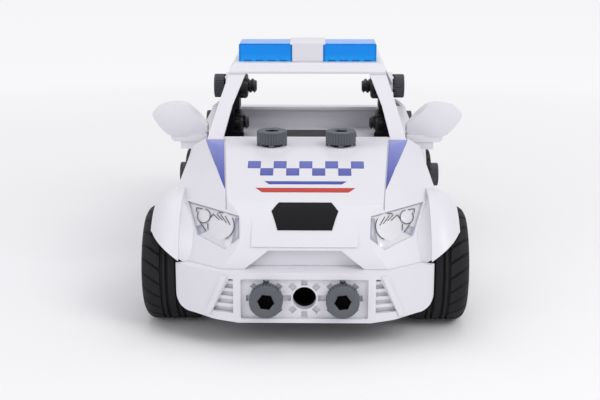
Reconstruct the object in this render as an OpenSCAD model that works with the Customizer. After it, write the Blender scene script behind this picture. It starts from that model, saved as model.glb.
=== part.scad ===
// A toy police car that bolts together, drawn in millimetres.
// y runs back from the nose while a piece is drawn; the whole car is then
// moved so that its middle stands on the origin, with the nose towards -Y.

/* [Car] */
// Length over the front bolt heads and the rear bumper
car_l = 250; // [248:1:254]
// Height of the main body sides over the ground at the belt line
belt_z = 63; // [62:0.5:64]
// Height of the roof skin
roof_z = 98.2; // [97:0.2:100]
// Half width of the roof
roof_hw = 36.8; // [35:0.2:38]
// Wall of the white mouldings
wall = 2; // [1.8:0.1:2.2]

/* [Fixings] */
// Spacing of the bolt holes
pitch = 15; // [14.6:0.1:15.4]
// Across a bolt head
head_d = 13.2; // [12.6:0.1:13.6]
// Depth of a bolt head
head_h = 5.6; // [5:0.1:6]
// Across the bolt thread
shank_d = 8; // [7.6:0.1:8.4]
// Thread length under the head
bolt_l = 18; // [17:0.1:18.2]
// Across a bolt hole
hole_d = 9.3; // [9:0.1:9.6]
// Across the flats of the key socket
socket_af = 5.8; // [5:0.1:6.4]
// Across a nut
nut_d = 14.2; // [13.6:0.1:14.4]
// Depth of a nut
nut_t = 4.5; // [4:0.1:4.6]
// Flutes round a bolt head
flutes = 32; // [24:4:40]
// Height of the lugs under a bolt head
lug_h = 1.1; // [0.9:0.1:1.2]
// Width of a lug
lug_w = 2.2; // [1.8:0.1:2.4]

/* [Wheels] */
// Across a tyre
tyre_d = 48; // [47:0.2:48.4]
// Width of a tyre
tyre_w = 25; // [24:0.2:25.4]
// Front axle behind the nose
front_axle_y = 45; // [44.5:0.1:45.5]
// Distance between the axles
wheelbase = 128; // [127:0.2:129]
// Middle of a front tyre off the centre line
front_x = 54.3; // [54:0.1:54.8]
// Middle of a rear tyre off the centre line
rear_x = 51; // [50.8:0.1:51.6]
// Radius of the steel axles
axle_r = 2; // [1.8:0.1:2.2]
// Running clearance on the radius
run = 0.06; // [0.03:0.01:0.09]

/* [Gears] */
// Gear module
gear_m = 0.7; // [0.66:0.02:0.72]
// Teeth of the axle gear
axle_teeth = 28; // [27:1:29]
// Teeth of the small idler wheel
small_teeth = 12; // [12:1:13]
// Teeth of the large idler wheel
large_teeth = 30; // [29:1:31]
// Teeth of the motor pinion
pinion_teeth = 10; // [10:1:11]
// Play between the tooth flanks
backlash = 0.16; // [0.1:0.02:0.24]

/* [Hidden] */
$fn = 64;
axle_z = tyre_d / 2;
rear_axle_y = front_axle_y + wheelbase;
bolt_z = 21.3;
seat_y = head_h;
mid_bolt_y = 222;
top_bolt_z = 71.6;
top_seat_x = 46.3;
mid_bolt_z = 50.9;
upright_x = 44.6;
low_bolt_y = 228;
low_bolt_z = 19.5;
low_seat_x = 67.3;
sill_bolt_y = 104;
sill_bolt_z = 24;
hood_bolt_y = 71;
hood_z = 69;
hood_end = 84.4;
gap = 0.3;
lug_r = 5.5;
body_y = hood_end + gap;
tub_z = 10;
tub_hw = 26;
lid_z = 36;
lid_top = 46.5;
hump_z = 50.2;
bush_r = 4;
c1 = gear_m * (axle_teeth + small_teeth) / 2;
c2 = gear_m * (large_teeth + pinion_teeth) / 2;
b1 = 153.2;
b2 = 175;
idler_y = rear_axle_y + c1 * cos(b1);
idler_z = axle_z + c1 * sin(b1);
motor_y = idler_y + c2 * cos(b2);
motor_z = idler_z + c2 * sin(b2);
small_turn = b1 + 180 - (0.5 - b1 * axle_teeth / 360) * 360 / small_teeth;
pinion_turn = b2 + 180 - (0.5 - b2 * large_teeth / 360) * 360 / pinion_teeth;

// Shared moves

module car() translate([0, -car_l / 2, 0]) children();

module both() {
  children();
  mirror([1, 0, 0]) children();
}

// A side view (along the car, up) drawn out across the car from x0 to x1.
module side_draw(x0, x1) translate([x0, 0, 0]) rotate([90, 0, 90]) linear_extrude(x1 - x0) children();

// A front view (across, up) drawn out along the car from y0 to y1.
module front_draw(y0, y1) translate([0, y1, 0]) rotate([90, 0, 0]) linear_extrude(y1 - y0) children();

// A plan view drawn up from z0 to z1.
module plan_draw(z0, z1) translate([0, 0, z0]) linear_extrude(z1 - z0) children();

// A rod across the car.
module rod(x0, x1, y, z, r) translate([x0, y, z]) rotate([0, 90, 0]) cylinder(r = r, h = x1 - x0);

// A rod along the car.
module bar(x, z, y0, y1, r) translate([x, y0, z]) rotate([-90, 0, 0]) cylinder(r = r, h = y1 - y0);

// A block given by two corners.
module block(a, b) translate(a) cube(b - a);

// All that lies more than t behind the plane through p with outward direction n.
module behind(n, p, t) {
  d = norm(n);
  translate(p) rotate([0, acos(n[2] / d), atan2(n[1], n[0])])
    translate([-250, -250, -300 - t]) cube([500, 500, 300]);
}

// Points on an arc, ends included.
function arc(c, r, a0, a1, n) = [for (i = [0:n]) let (a = a0 + (a1 - a0) * i / n) c + r * [cos(a), sin(a)]];

function flip(pts) = [for (i = [len(pts) - 1:-1:0]) [-pts[i][0], pts[i][1]]];

// Bolts and nuts of the kit

// One bolt: the underside of its fluted head lies at z = 0, the lugs and the thread run down.
module bolt() {
  difference() {
    union() {
      intersection() {
        linear_extrude(head_h) polygon([for (i = [0:2 * flutes - 1])
          (head_d / 2 - (i % 2) * 0.45) * [cos(i * 180 / flutes), sin(i * 180 / flutes)]]);
        rotate_extrude() polygon([[0, 0], [head_d / 2 - 0.5, 0], [head_d / 2, 0.6],
          [head_d / 2, head_h - 1], [head_d / 2 - 0.9, head_h], [0, head_h]]);
      }
      rotate_extrude() polygon([[0, 0.5], [0, -bolt_l], [shank_d / 2 - 0.9, -bolt_l],
        [shank_d / 2, -bolt_l + 0.9], [shank_d / 2, 0.5]]);
      for (a = [0:90:270]) rotate(a)
        block([lug_r, -lug_w / 2, -lug_h], [head_d / 2 - 0.1, lug_w / 2, 0.2]);
    }
    translate([0, 0, head_h - 3.6]) cylinder(d = socket_af / cos(30), h = 4, $fn = 6);
    translate([0, 0, head_h - 0.5]) cylinder(d1 = socket_af + 0.4, d2 = socket_af + 2, h = 0.6);
  }
}

// One nut: its bearing face lies at z = 0 and it reaches down to z = -nut_t.
module nut() {
  translate([0, 0, -nut_t]) difference() {
    rotate_extrude() polygon([[0, 0], [nut_d / 2 - 1.2, 0], [nut_d / 2, 1.2],
      [nut_d / 2, nut_t], [0, nut_t]]);
    translate([0, 0, -1]) cylinder(d = shank_d + 0.1, h = nut_t + 2);
    for (a = [0:60:300]) rotate(a) translate([nut_d / 2 + 0.6, 0, -1])
      cylinder(r = 1.6, h = nut_t + 2, $fn = 24);
  }
}

// Slots round a hole that take the lugs: the seat lies at z = 0.
module lug_slots() for (a = [0:45:315]) rotate(a)
  block([lug_r - 0.2, -lug_w / 2 - 0.1, -lug_h - gap], [head_d / 2 + 1.3, lug_w / 2 + 0.1, 1]);

// Bolts along x on both sides, underside of the head at x = s.
module side_bolt(s, y, z) both() translate([s, y, z]) rotate([0, 90, 0]) bolt();
module side_nut(s, y, z) both() translate([s, y, z]) rotate([0, 90, 0]) nut();

// Front bumper

// Half widths of the middle box and of the field sunk into it.
box_hw = 26.5;
field_hw = 24.2;

// Plan of the bumper skin: swept back wings, t is the depth under the skin.
function wing_plan(t) = [[26.5, 4 + t], [34, 6.2 + t], [44, 11 + t],
  [50.2 - t * 0.5, 15.2 + t * 0.6], [51.8 - t, 17.2]];

module wing_band(t0, t1) plan_draw(8, 40) polygon(concat(wing_plan(t0), flip_list(wing_plan(t1))));
function flip_list(p) = [for (i = [len(p) - 1:-1:0]) p[i]];

module wing_face() polygon(concat([[25, 11.6], [36.5, 12.2], [44, 13.4]],
  arc([45.6, 19.6], 6.2, -80, 0, 6), [[52.6, 32.2], [25, 32.2]]));

module vent_face() polygon([[28, 29.4], [29.6, 29.4], [36.4, 15.4], [28, 15.4]]);

module front_bumper() color("white") car() difference() {
  union() {
    block([-box_hw, 4, 11.6], [box_hw, 9.5, 32.2]);
    block([-box_hw, 8, 30.4], [box_hw, 15.5, 32.2]);
    both() {
      intersection() {
        wing_band(0, 2.2);
        difference() {
          front_draw(0, 30) wing_face();
          front_draw(0, 30) vent_face();
        }
      }
      // fins of the vent and the raised bar beside it
      intersection() {
        wing_band(1, 2.6);
        front_draw(0, 30) intersection() {
          vent_face();
          union() for (i = [0:3]) translate([24, 17.5 + i * 3.2]) square([16, 1.3]);
        }
      }
      intersection() {
        wing_band(-0.7, 1);
        front_draw(0, 30) polygon([[30.2, 30.6], [32.6, 30.6], [39.8, 13.6], [37.6, 13.4]]);
      }
      intersection() {
        plan_draw(30.4, 32.2) polygon(concat(wing_plan(0), [[46, 19.6], [34, 13.5], [26, 12.6]]));
        front_draw(0, 30) wing_face();
      }
    }
  }
  // sunk field round the holes, with slots for the lugs
  front_draw(0, seat_y) polygon(concat(
    arc([field_hw, 28.7], 0.8, 0, 90, 4), arc([-field_hw, 28.7], 0.8, 90, 180, 4),
    arc([-field_hw, 14.1], 0.8, 180, 270, 4), arc([field_hw, 14.1], 0.8, 270, 360, 4)));
  for (x = [-pitch, 0, pitch]) {
    bar(x, bolt_z, 0, 20, hole_d / 2);
    translate([x, seat_y, bolt_z]) rotate([90, 0, 0]) lug_slots();
  }
}

// Bonnet with front wings

slope_a = 17.8;
face_a = 168.7;
nose_r = 28;
slope_n = [-sin(slope_a), cos(slope_a)];
face_n = [cos(face_a), sin(face_a)];
// The nose arc touches the sloping bonnet and the upright face.
slope_k = slope_n * [42, 60.4] - nose_r;
face_k = face_n * [10, 39.8] - nose_r;
det = slope_n[0] * face_n[1] - slope_n[1] * face_n[0];
nose_c = [(slope_k * face_n[1] - slope_n[1] * face_k) / det,
  (slope_n[0] * face_k - slope_k * face_n[0]) / det];
// Where the slope runs into the level shelf under the screen.
knee_y = 42 + (hood_z - 60.4) / tan(slope_a);

function hood_side(t) = concat(
  [[10 + t - 3.2, 22 - 10 * t]],
  arc(nose_c, nose_r - t, face_a, 90 + slope_a, 12),
  arc([knee_y + 5, hood_z - 33.5], 33.5 - t, 90 + slope_a, 90, 6),
  [[hood_end + 5 * t, hood_z - t], [hood_end + 5 * t, 22 - 10 * t]]);

function hood_plan(t) = concat([[24, 6 + t], [40 - 0.3 * t, 10.6 + t], [49.4 - 0.6 * t, 15.4 + 0.8 * t],
  [52.6 - t, 19 + 0.4 * t], [54 - t, 46], [56.6 - t, 72], [56.6 - t, hood_end + 5 * t]]);

lamp_n = [0.5035, -0.667, 0.549];
lamp_p = [48.5, 37, 52.5];

module bonnet_core(t) intersection() {
  side_draw(-60, 60) polygon(hood_side(t));
  plan_draw(5, 90) polygon(concat(hood_plan(t), flip(hood_plan(t))));
  both_cut([0.497, -0.262, 0.827], [44.9, 82.5, 69], t);
  both_cut([0.364, -0.385, 0.848], [33.2, 35.2, 58.2], t);
  both_cut([0.949, 0, 0.316], [52, 84, 62.4], t);
  both_cut(lamp_n, lamp_p, t);
}

module both_cut(n, p, t) intersection() {
  behind(n, p, t);
  mirror([1, 0, 0]) behind(n, p, t);
}

// Section of a front wing about the axle: radius against distance off the centre line.
function wing_out() = concat([[50.6, 31.6], [53, 31.6]], arc([53, 21.6], 10, 90, 25, 8), [[62.9, 25.2]]);
function wing_in() = concat([[40, 24.9], [51.8, 24.9], [51.8, 29.8]],
  arc([53, 21.6], 8.3, 90, 32, 8), [[62.9, 25.2], [70, 25.2]]);

// Turns a section (distance off the centre line, radius) about the front axle.
module axle_turn(pts) translate([0, front_axle_y, axle_z]) rotate([0, 90, 0])
  rotate_extrude($fn = 120) polygon([for (p = pts) [p[1], p[0]]]);

module lamp_face() polygon([[48.5, 52.5], [26.2, 51.1], [25.7, 43.5], [31.6, 38.8], [43.6, 41.5]]);

// Raised panel of the nose: it stands out most along its lower edge.
function panel_way(i) = [cos(156 - 3.6 * i), sin(156 - 3.6 * i)];
module nose_panel() side_draw(-21, 21) polygon(concat(
  [for (i = [0:8]) nose_c + (nose_r + 0.7 * (1 - i / 8)) * panel_way(i)],
  [for (i = [8:-1:0]) nose_c + (nose_r - 1) * panel_way(i)]));

module grille_face(g) polygon([[-23.6 - g, 30], [-23.6 - g, 32.3], [-14.4 - g, 39.4 + g],
  [14.4 + g, 39.4 + g], [23.6 + g, 32.3], [23.6 + g, 30]]);

module bonnet() color("white") car() difference() {
  union() {
    difference() {
      bonnet_core(0);
      bonnet_core(wall);
    }
    intersection() {
      bonnet_core(0.2);
      front_draw(5, 17) grille_face(1.6);
    }
    nose_panel();
    // seats of the two bolts
    for (x = [-pitch, pitch]) translate([x, hood_bolt_y, hood_z - 2]) cylinder(r = 7.4, h = 2);
    // wings over the tyres
    both() intersection() {
      union() {
        axle_turn(concat(wing_out(), [[50.6, 25.2]]));
        // fairing from the lamp's outer edge to the wing
        axle_turn([[45.5, 24], [51.6, 24], [51.6, 29.6], [45.5, 26.2]]);
      }
      side_draw(40, 70) polygon([[8, 29], [30, 29], [30, 26], [66, 26], [80, 27], [80, 70], [8, 70]]);
    }
  }
  // room for the tyres
  both() axle_turn(concat([[40, 0]], wing_in(), [[70, 0]]));
  // lower edges: over the bumper, the slanting ends of the wings, the sill
  front_draw(-5, 30) polygon([[-56, 0], [-56, 32.3], [56, 32.3], [56, 0]]);
  both() front_draw(-5, 42) polygon([[49, 32.3], [66, 44.6], [70, 20], [49, 20]]);
  block([-70, 20, -5], [70, 90, 30]);
  block([-40, 24, -5], [40, 90, 40]);
  // grille, lamp beds and bolt holes
  front_draw(0, 13.6) grille_face(0);
  both() difference() {
    front_draw(0, 60) lamp_face();
    behind(lamp_n, lamp_p, 0.7);
  }
  for (x = [-pitch, pitch]) translate([x, hood_bolt_y, 50]) cylinder(d = hole_d, h = 40);
  // seams of the middle panel
  both() difference() {
    plan_draw(48, 90) polygon([[36.6, 85], [37.1, 85], [31.9, 24.2], [31.4, 24.2]]);
    bonnet_core(0.6);
  }
}

// Sides

function side_sec(t) = [[58.2 - t, 15], [58.6 - t, 25], [57 - t, 45], [52.3 - t, belt_z]];

module side_skin(y0, y1) front_draw(y0, y1) polygon(concat(side_sec(0), flip_list(side_sec(wall))));

module side_panel() color("white") car() difference() {
  union() {
    intersection() {
      side_skin(body_y, 206);
      side_draw(40, 70) polygon([[body_y, 30], [88, 16], [206, 16], [206, belt_z], [body_y, belt_z]]);
    }
    intersection() {
      translate([0, 205, 0]) rotate([0, 0, 8]) side_skin(-8, 36);
      side_draw(40, 70) polygon([[205, 29.6], [232.8, 29.6], [232.8, 60], [229, belt_z], [205, belt_z]]);
    }
    // belt rail
    intersection() {
      front_draw(body_y, 206) polygon([[52.2, belt_z], [46.5, belt_z], [46.5, belt_z - 2],
        [50, belt_z - 5], [53, belt_z - 3]]);
      behind([1, 0, 0.316], [52.5, 0, belt_z], 0);
    }
    // wheel arch lip
    difference() {
      rod(55, 60.2, rear_axle_y, axle_z, 28.4);
      block([40, 120, -10], [80, 230, 16]);
    }
    // sill step
    front_draw(88, 146) polygon([[57, 16], [60, 16], [60, 20], [58.4, 23], [57, 23]]);
    rod(54, 58.6, sill_bolt_y, sill_bolt_z, 7.6);
    intersection() {
      rod(48.9, 56, mid_bolt_y, mid_bolt_z, 9);
      translate([0, 205, 0]) rotate([0, 0, 8]) front_draw(-8, 36)
        polygon(concat([[40, 15]], side_sec(0), [[40, belt_z]]));
    }
    block([47.2, 90.4, 55], [51.4, 99.6, belt_z - 0.5]);
  }
  rod(40, 80, rear_axle_y, axle_z, 26.4);
  rod(40, 80, sill_bolt_y, sill_bolt_z, hole_d / 2);
  rod(58.6, 80, sill_bolt_y, sill_bolt_z, 7.6);
  rod(40, 80, mid_bolt_y, mid_bolt_z, hole_d / 2);
  rod(50.9, 80, mid_bolt_y, mid_bolt_z, 7.2);
  translate([49.4, 95, 50]) cylinder(r = 2.5, h = 20);
  // room for the tail corner
  block([40, 226, 48], [49.4, 240, 57.2]);
  // door outline and handle
  intersection() {
    difference() {
      side_draw(40, 70) polygon(concat([[92, 61]], arc([97, 34], 5, 180, 270, 4),
        arc([139, 34], 5, 270, 360, 4), [[146, 50], [149, 61]]));
      side_draw(30, 80) polygon(concat([[93, 60]], arc([98, 35], 5, 180, 270, 4),
        arc([138, 35], 5, 270, 360, 4), [[145, 50], [148, 60]]));
    }
    front_draw(80, 206) polygon(concat(side_sec(-1), flip_list(side_sec(0.7))));
  }
  intersection() {
    side_draw(40, 70) polygon(concat(arc([140, 53], 2.6, 90, 270, 6), arc([128, 53], 2.6, -90, -270, 6)));
    front_draw(80, 206) polygon(concat(side_sec(-1), flip_list(side_sec(1.2))));
  }
}

module left_side_panel() side_panel();
module right_side_panel() mirror([1, 0, 0]) side_panel();

// Roof on its pillars

module roof_frame() color("white") car() difference() {
  union() {
    // cowl under the screen, with the plate that the bonnet bolts hold
    front_draw(body_y, 90) polygon([[-45.4, hood_z - 4], [-45.4, hood_z - 1.6], [-43, hood_z],
      [43, hood_z], [45.4, hood_z - 1.6], [45.4, hood_z - 4]]);
    intersection() {
      block([-30, 64.6, hood_z - 4], [30, body_y + 1, hood_z - 2]);
      side_draw(-40, 40) polygon(hood_side(wall));
    }
    both() {
      // screen pillar, slimmer in the middle
      hull() {
        block([38, body_y, hood_z - 2], [45, 90, hood_z - 1.5]);
        block([34.4, 100.6, 80.8], [41, 107, 81.2]);
      }
      hull() {
        block([34.4, 100.6, 80.8], [41, 107, 81.2]);
        block([29, 118, 93.6], [roof_hw, 125, 94]);
      }
      // rear pillar, with its leg
      hull() {
        block([28.8, 180, 93.6], [roof_hw, 196, 94]);
        block([41.8, 214.6, top_bolt_z + 2], [top_seat_x, 229.4, top_bolt_z + 2.5]);
      }
      rod(41.8, top_seat_x, mid_bolt_y, top_bolt_z, 7.5);
      block([41.8, 214.5, top_bolt_z - 1], [top_seat_x, 229.5, top_bolt_z + 2.6]);
    }
    // roof skin with its turned down rim
    difference() {
      intersection() {
        front_draw(117, 197) polygon([[-roof_hw, 93.6], [-roof_hw, 95.6], [-34.4, roof_z],
          [34.4, roof_z], [roof_hw, 95.6], [roof_hw, 93.6]]);
        side_draw(-40, 40) polygon([[117, 93.6], [117, 94.6], [121.5, roof_z],
          [192, roof_z], [197, 95], [197, 93.6]]);
      }
      block([-28.8, 124, 90], [28.8, 190, roof_z - 2.2]);
    }
  }
  for (x = [-pitch, pitch]) translate([x, hood_bolt_y, 50]) cylinder(d = hole_d, h = 40);
  both() rod(30, 60, mid_bolt_y, top_bolt_z, hole_d / 2);
  // room for the round ends of the uprights
  both() rod(30, 41.8, mid_bolt_y, top_bolt_z, 7.9);
  // slots for the light bar feet
  block([-5.2, 124.9, 90], [5.2, 126.1, 110]);
  block([-5.2, 144.9, 90], [5.2, 146.1, 110]);
}

// Light bar

lens_z = 106.7;
lens_hw = 32.7;

module bar_side(g) polygon([[126 - g, roof_z], [126 - g, lens_z - 0.5 + g], [126.5 - g, lens_z + g],
  [144.5 + g, lens_z + g], [145 + g, lens_z - 0.5 + g], [145 + g, roof_z]]);

module light_bar_lens() color("RoyalBlue") car() difference() {
  intersection() {
    side_draw(-lens_hw, lens_hw) bar_side(0);
    front_draw(120, 150) polygon([[-lens_hw, 90], [-lens_hw, lens_z - 0.6], [-lens_hw + 0.8, lens_z + 0.2],
      [lens_hw - 0.8, lens_z + 0.2], [lens_hw, lens_z - 0.6], [lens_hw, 90]]);
  }
  side_draw(-lens_hw + 1.6, lens_hw - 1.6) bar_side(-1.6);
  // gaps between the feet
  both() for (x = [9.8:5.6:29]) block([x, 120, 90], [x + 3.6, 150, roof_z + 0.8]);
}

module light_bar_saddle() color("white") car() difference() {
  union() {
    side_draw(-7.3, 7.3) bar_side(0.7);
    intersection() {
      side_draw(-8.4, 8.4) bar_side(0.7);
      block([-10, 120, lens_z - 0.5], [10, 150, lens_z + 5]);
    }
    block([-5, 125.3, roof_z - 3.4], [5, 126, roof_z + 1]);
    block([-5, 145, roof_z - 3.4], [5, 145.7, roof_z + 1]);
  }
  side_draw(-10, 10) bar_side(0);
}

// Mirrors

module mirror_face() polygon([[70.2, 78.4], [69.6, 79.8], [68.2, 81.2], [66.2, 82.3], [62.6, 83.2],
  [59, 83.5], [56.2, 83.3], [54, 82.4], [49.2, 78], [45.4, 73.2], [45.2, 70.4], [46.4, 69],
  [61.4, 69], [63.6, 70], [66.4, 72.6], [69.2, 76.4]]);

module wing_mirror() color("white") car() union() {
  difference() {
    intersection() {
      front_draw(89, 101) mirror_face();
      translate([57.5, 117, 76.5]) sphere(r = 27.4, $fn = 96);
    }
    intersection() {
      front_draw(99.4, 103) translate([57.5, 76.5]) scale([0.86, 0.84])
        translate([-57.5, -76.5]) mirror_face();
      block([40, 90, 60], [75, 110, 90]);
    }
  }
  block([46, 91.5, belt_z], [57.4, 98.5, 66.6]);
  front_draw(91, 99) polygon([[45.2, 66.4], [60.2, 66.4], [61.6, 67.8], [61.6, 69.6], [45.2, 69.6]]);
  translate([49.4, 95, belt_z - 6.5]) cylinder(r = 2.5, h = 7);
}

module left_mirror() wing_mirror();
module right_mirror() mirror([1, 0, 0]) wing_mirror();

// Tail and rear bumper

function tail_plan(t) = arc([50.6 - 12, 232.6], 12 - t, 0, 90, 8);
function tail_out() = concat([[50.6, 212]], tail_plan(0));
function tail_in() = concat([[46.4, 200], [46.4, 229]], tail_plan(2.2));

module tail() color("white") car() difference() {
  union() {
    intersection() {
      difference() {
        plan_draw(29, 57) polygon(concat(tail_out(), flip(tail_out())));
        plan_draw(20, 70) polygon(concat(tail_in(), flip(tail_in())));
      }
      side_draw(-60, 60) polygon([[214, 40], [232, 29], [250, 29], [250, 57], [233, 57],
        [228, 53.6], [214, 53.6]]);
    }
    // deck lip and floor
    difference() {
      plan_draw(55, 57) polygon(concat(tail_out(), flip(tail_out())));
      plan_draw(50, 60) polygon([[60, 200], [60, 233.5], [44, 233.5], [44, 237.5],
        [-44, 237.5], [-44, 233.5], [-60, 233.5], [-60, 200]]);
    }
    plan_draw(42, 44) polygon([[-48.6, 214], [-48.6, 236], [-40, 243], [40, 243], [48.6, 236],
      [48.6, 214], [36, 206.6], [-36, 206.6]]);
    both() rod(upright_x, 48.9, mid_bolt_y, mid_bolt_z, 6.8);
  }
  both() rod(30, 60, mid_bolt_y, mid_bolt_z, hole_d / 2);
  // room for the uprights and the side panels
  both() block([41.4, 212, 40], [upright_x, 230, 45]);
  both() block([48.9, 200, 20], [60, 233, 70]);
  // beds of the tail lamps
  both() front_draw(243.9, 246) polygon([[24, 43], [37.6, 43], [37.6, 52], [24, 52]]);
}

function guard_plan(t) = concat([[low_seat_x - t, 214]],
  arc([low_seat_x - 16, car_l - 16], 16 - t, 0, 90, 10));
function guard_in() = concat([[low_seat_x - 2.5, 200]], guard_plan(2.5));

module rear_bumper() color("white") car() difference() {
  union() {
    difference() {
      plan_draw(11.5, 28.4) polygon(concat(guard_plan(0), flip(guard_plan(0))));
      plan_draw(0, 26.4) polygon(concat(guard_in(), flip(guard_in())));
      plan_draw(20, 40) polygon([[-64, 200], [-64, 232], [-54, 239], [54, 239], [64, 232], [64, 200]]);
    }
    both() block([53, 240.4, 13], [55, 248, 27]);
  }
  both() rod(60, 80, low_bolt_y, low_bolt_z, hole_d / 2);
  side_draw(-80, 80) polygon([[205, 5], [222, 5], [214, 16], [214, 30], [205, 30]]);
  front_draw(248.9, 252) polygon(concat(arc([30, 20], 4, -90, 90, 8), arc([-30, 20], 4, 90, 270, 8)));
}

// Uprights behind the seats

// The lower half stands further out than the upper half, behind the tail's boss.
module upright() color("DimGray") car() difference() {
  union() {
    side_draw(38.8, 41.8) polygon(concat(arc([mid_bolt_y, top_bolt_z], 7.5, 0, 180, 12),
      [[mid_bolt_y - 7.5, 59], [mid_bolt_y + 7.5, 59]]));
    block([38.8, 214.5, 59], [upright_x, 229.5, 62]);
    block([41.8, 214.5, 28.6], [upright_x, 229.5, 62]);
    // stiffening flange along the front edge
    block([41.8, 212.2, 44.2], [upright_x, 216, 59.4]);
    front_draw(212.2, 213.8) polygon([[36.4, 44.2], [47, 44.2], [47, 51], [43.2, 59.4], [41.8, 59.4],
      [41.8, 47], [36.4, 47]]);
    // foot in the tail beam
    block([27, 214.5, 28.6], [upright_x, 237.5, 31.6]);
    block([29, 220.7, 24], [37, 235.3, 29]);
    side_draw(36, 42) polygon([[230.5, 31], [236, 31], [229, 40], [226.5, 40]]);
  }
  rod(30, 60, mid_bolt_y, top_bolt_z, hole_d / 2);
  rod(30, 60, mid_bolt_y, mid_bolt_z, hole_d / 2);
}

module left_upright() upright();
module right_upright() mirror([1, 0, 0]) upright();

// Chassis

peg_y = [99.5, 108.5];

module chassis_tub() color("DimGray") car() difference() {
  union() {
    block([-tub_hw, 24, tub_z], [tub_hw, 206, lid_z]);
    // nose plate behind the bumper
    block([-25.5, 9.5, 12.5], [25.5, 12.5, 30]);
    both() block([23, 12, 12.5], [25.5, 25, 30]);
    block([-25.5, 12, 12.5], [25.5, 25, 13.6]);
    // tongue that takes the tail beam
    block([-tub_hw, 204, tub_z], [tub_hw, 218.5, 27]);
  }
  // front bay
  block([-24, 26, 12], [24, 78, 40]);
  // battery bay, open below
  block([-23, 81, 5], [23, 134, 27]);
  block([-24, 81, 29], [24, 134, 40]);
  block([-10.2, 79, 12], [10.2, 81.5, 14.2]);
  block([-5.2, 133, 5], [5.2, 143.2, 12]);
  // motor and gear bay
  difference() {
    block([-24, 136, 12], [24, 204, 40]);
    block([8, 157.4, 11], [10, 178, lid_z]);
    translate([0, 138.6, 11]) cylinder(r = 4.4, h = 9);
    block([-12, 138, 11], [-9, 155, motor_z - 10]);
    block([4, 138, 11], [7, 155, motor_z - 10]);
  }
  translate([0, 138.6, 5]) cylinder(r = 1.2, h = 13);
  block([-24, 206, 12], [24, 222, 40]);
  for (x = [-pitch, 0, pitch]) bar(x, bolt_z, 5, 20, hole_d / 2);
  // holes of the axle bushes, the bracket pegs and the idler pin
  both() rod(20, 30, front_axle_y, axle_z, bush_r + 0.05);
  both() rod(20, 30, rear_axle_y, axle_z, bush_r + 0.05);
  both() for (y = peg_y) rod(23.9, 30, y, sill_bolt_z, 1.55);
  rod(7, 40, idler_y, idler_z, 1.5);
  rod(0, 15, rear_axle_y, axle_z, 3.4);
  // switch slot
  block([-16, 193, 5], [-12, 203, 20]);
}

// Arms from the tub to the sides.
module side_brackets() color("DimGray") car() both() difference() {
  union() {
    block([tub_hw, 95.5, 14.2], [54, 112.5, 16.2]);
    block([tub_hw, 95.5, 31.8], [54, 112.5, 33.8]);
    block([50.1, 95.5, 14.2], [54, 112.5, 33.8]);
    block([tub_hw, 95.5, 14.2], [tub_hw + 2, 112.5, 33.8]);
    for (y = peg_y) rod(24, tub_hw + 1, y, sill_bolt_z, 1.5);
  }
  rod(45, 60, sill_bolt_y, sill_bolt_z, hole_d / 2);
}

// Cross beam behind the tub: its tenon slides into the tub's tongue.
beam_hw = low_seat_x - 2.5;

module tail_beam() color("DimGray") car() difference() {
  union() {
    plan_draw(tub_z, 26.3) polygon([[-beam_hw, 218.5], [beam_hw, 218.5], [beam_hw, 233],
      [beam_hw - 4.3, 237.5], [-beam_hw + 4.3, 237.5], [-beam_hw, 233]]);
    block([-48, 218.5, tub_z], [48, 237.5, 28.6]);
    block([-23.8, 208, 12.1], [23.8, 219, 26]);
  }
  block([-61.5, 220.5, 12.2], [61.5, 235.5, 40]);
  block([-21.8, 200, 14.2], [21.8, 222, 40]);
  both() rod(55, 70, low_bolt_y, low_bolt_z, hole_d / 2);
}

// Bushes that carry an axle: a spigot in the tub's wall and a sleeve up to the wheel.
module bushes(y, end, bore) both() difference() {
  union() {
    rod(24, tub_hw + 1, y, axle_z, bush_r);
    rod(tub_hw, end, y, axle_z, 5.5);
  }
  rod(20, 60, y, axle_z, bore);
}

module front_axle_bushes() color("DimGray") car() bushes(front_axle_y, front_x - 13, axle_r);
module rear_axle_bushes() color("DimGray") car() bushes(rear_axle_y, rear_x - 13, axle_r + run);

module chassis_cover() color("DimGray") car() difference() {
  union() {
    front_draw(24, 206) polygon([[-tub_hw, lid_z], [-tub_hw, lid_top - 4], [-tub_hw + 4, lid_top],
      [tub_hw - 4, lid_top], [tub_hw, lid_top - 4], [tub_hw, lid_z]]);
    // hump over the motor
    front_draw(140, 203) polygon([[-tub_hw, lid_z], [-tub_hw, hump_z - 1], [-tub_hw + 1, hump_z],
      [tub_hw - 1, hump_z], [tub_hw, hump_z - 1], [tub_hw, lid_z]]);
    // stand for the bonnet bolts
    block([-25, 63, hood_z - 7], [25, 79, hood_z - 4]);
    both() block([22.6, 63, lid_top - 5], [25, 79, hood_z - 5]);
  }
  difference() {
    front_draw(26, 204) polygon([[-tub_hw + 2, lid_z - 1], [-tub_hw + 2, lid_top - 5],
      [-tub_hw + 5, lid_top - 2], [tub_hw - 5, lid_top - 2], [tub_hw - 2, lid_top - 5],
      [tub_hw - 2, lid_z - 1]]);
    both() block([22.6, 63, lid_top - 5], [25, 79, hood_z - 5]);
  }
  block([-tub_hw + 2, 142, lid_z - 1], [tub_hw - 2, 201, hump_z - 2]);
  for (x = [-pitch, pitch]) translate([x, hood_bolt_y, 50]) cylinder(d = hole_d, h = 40);
}

// Drive

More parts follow.
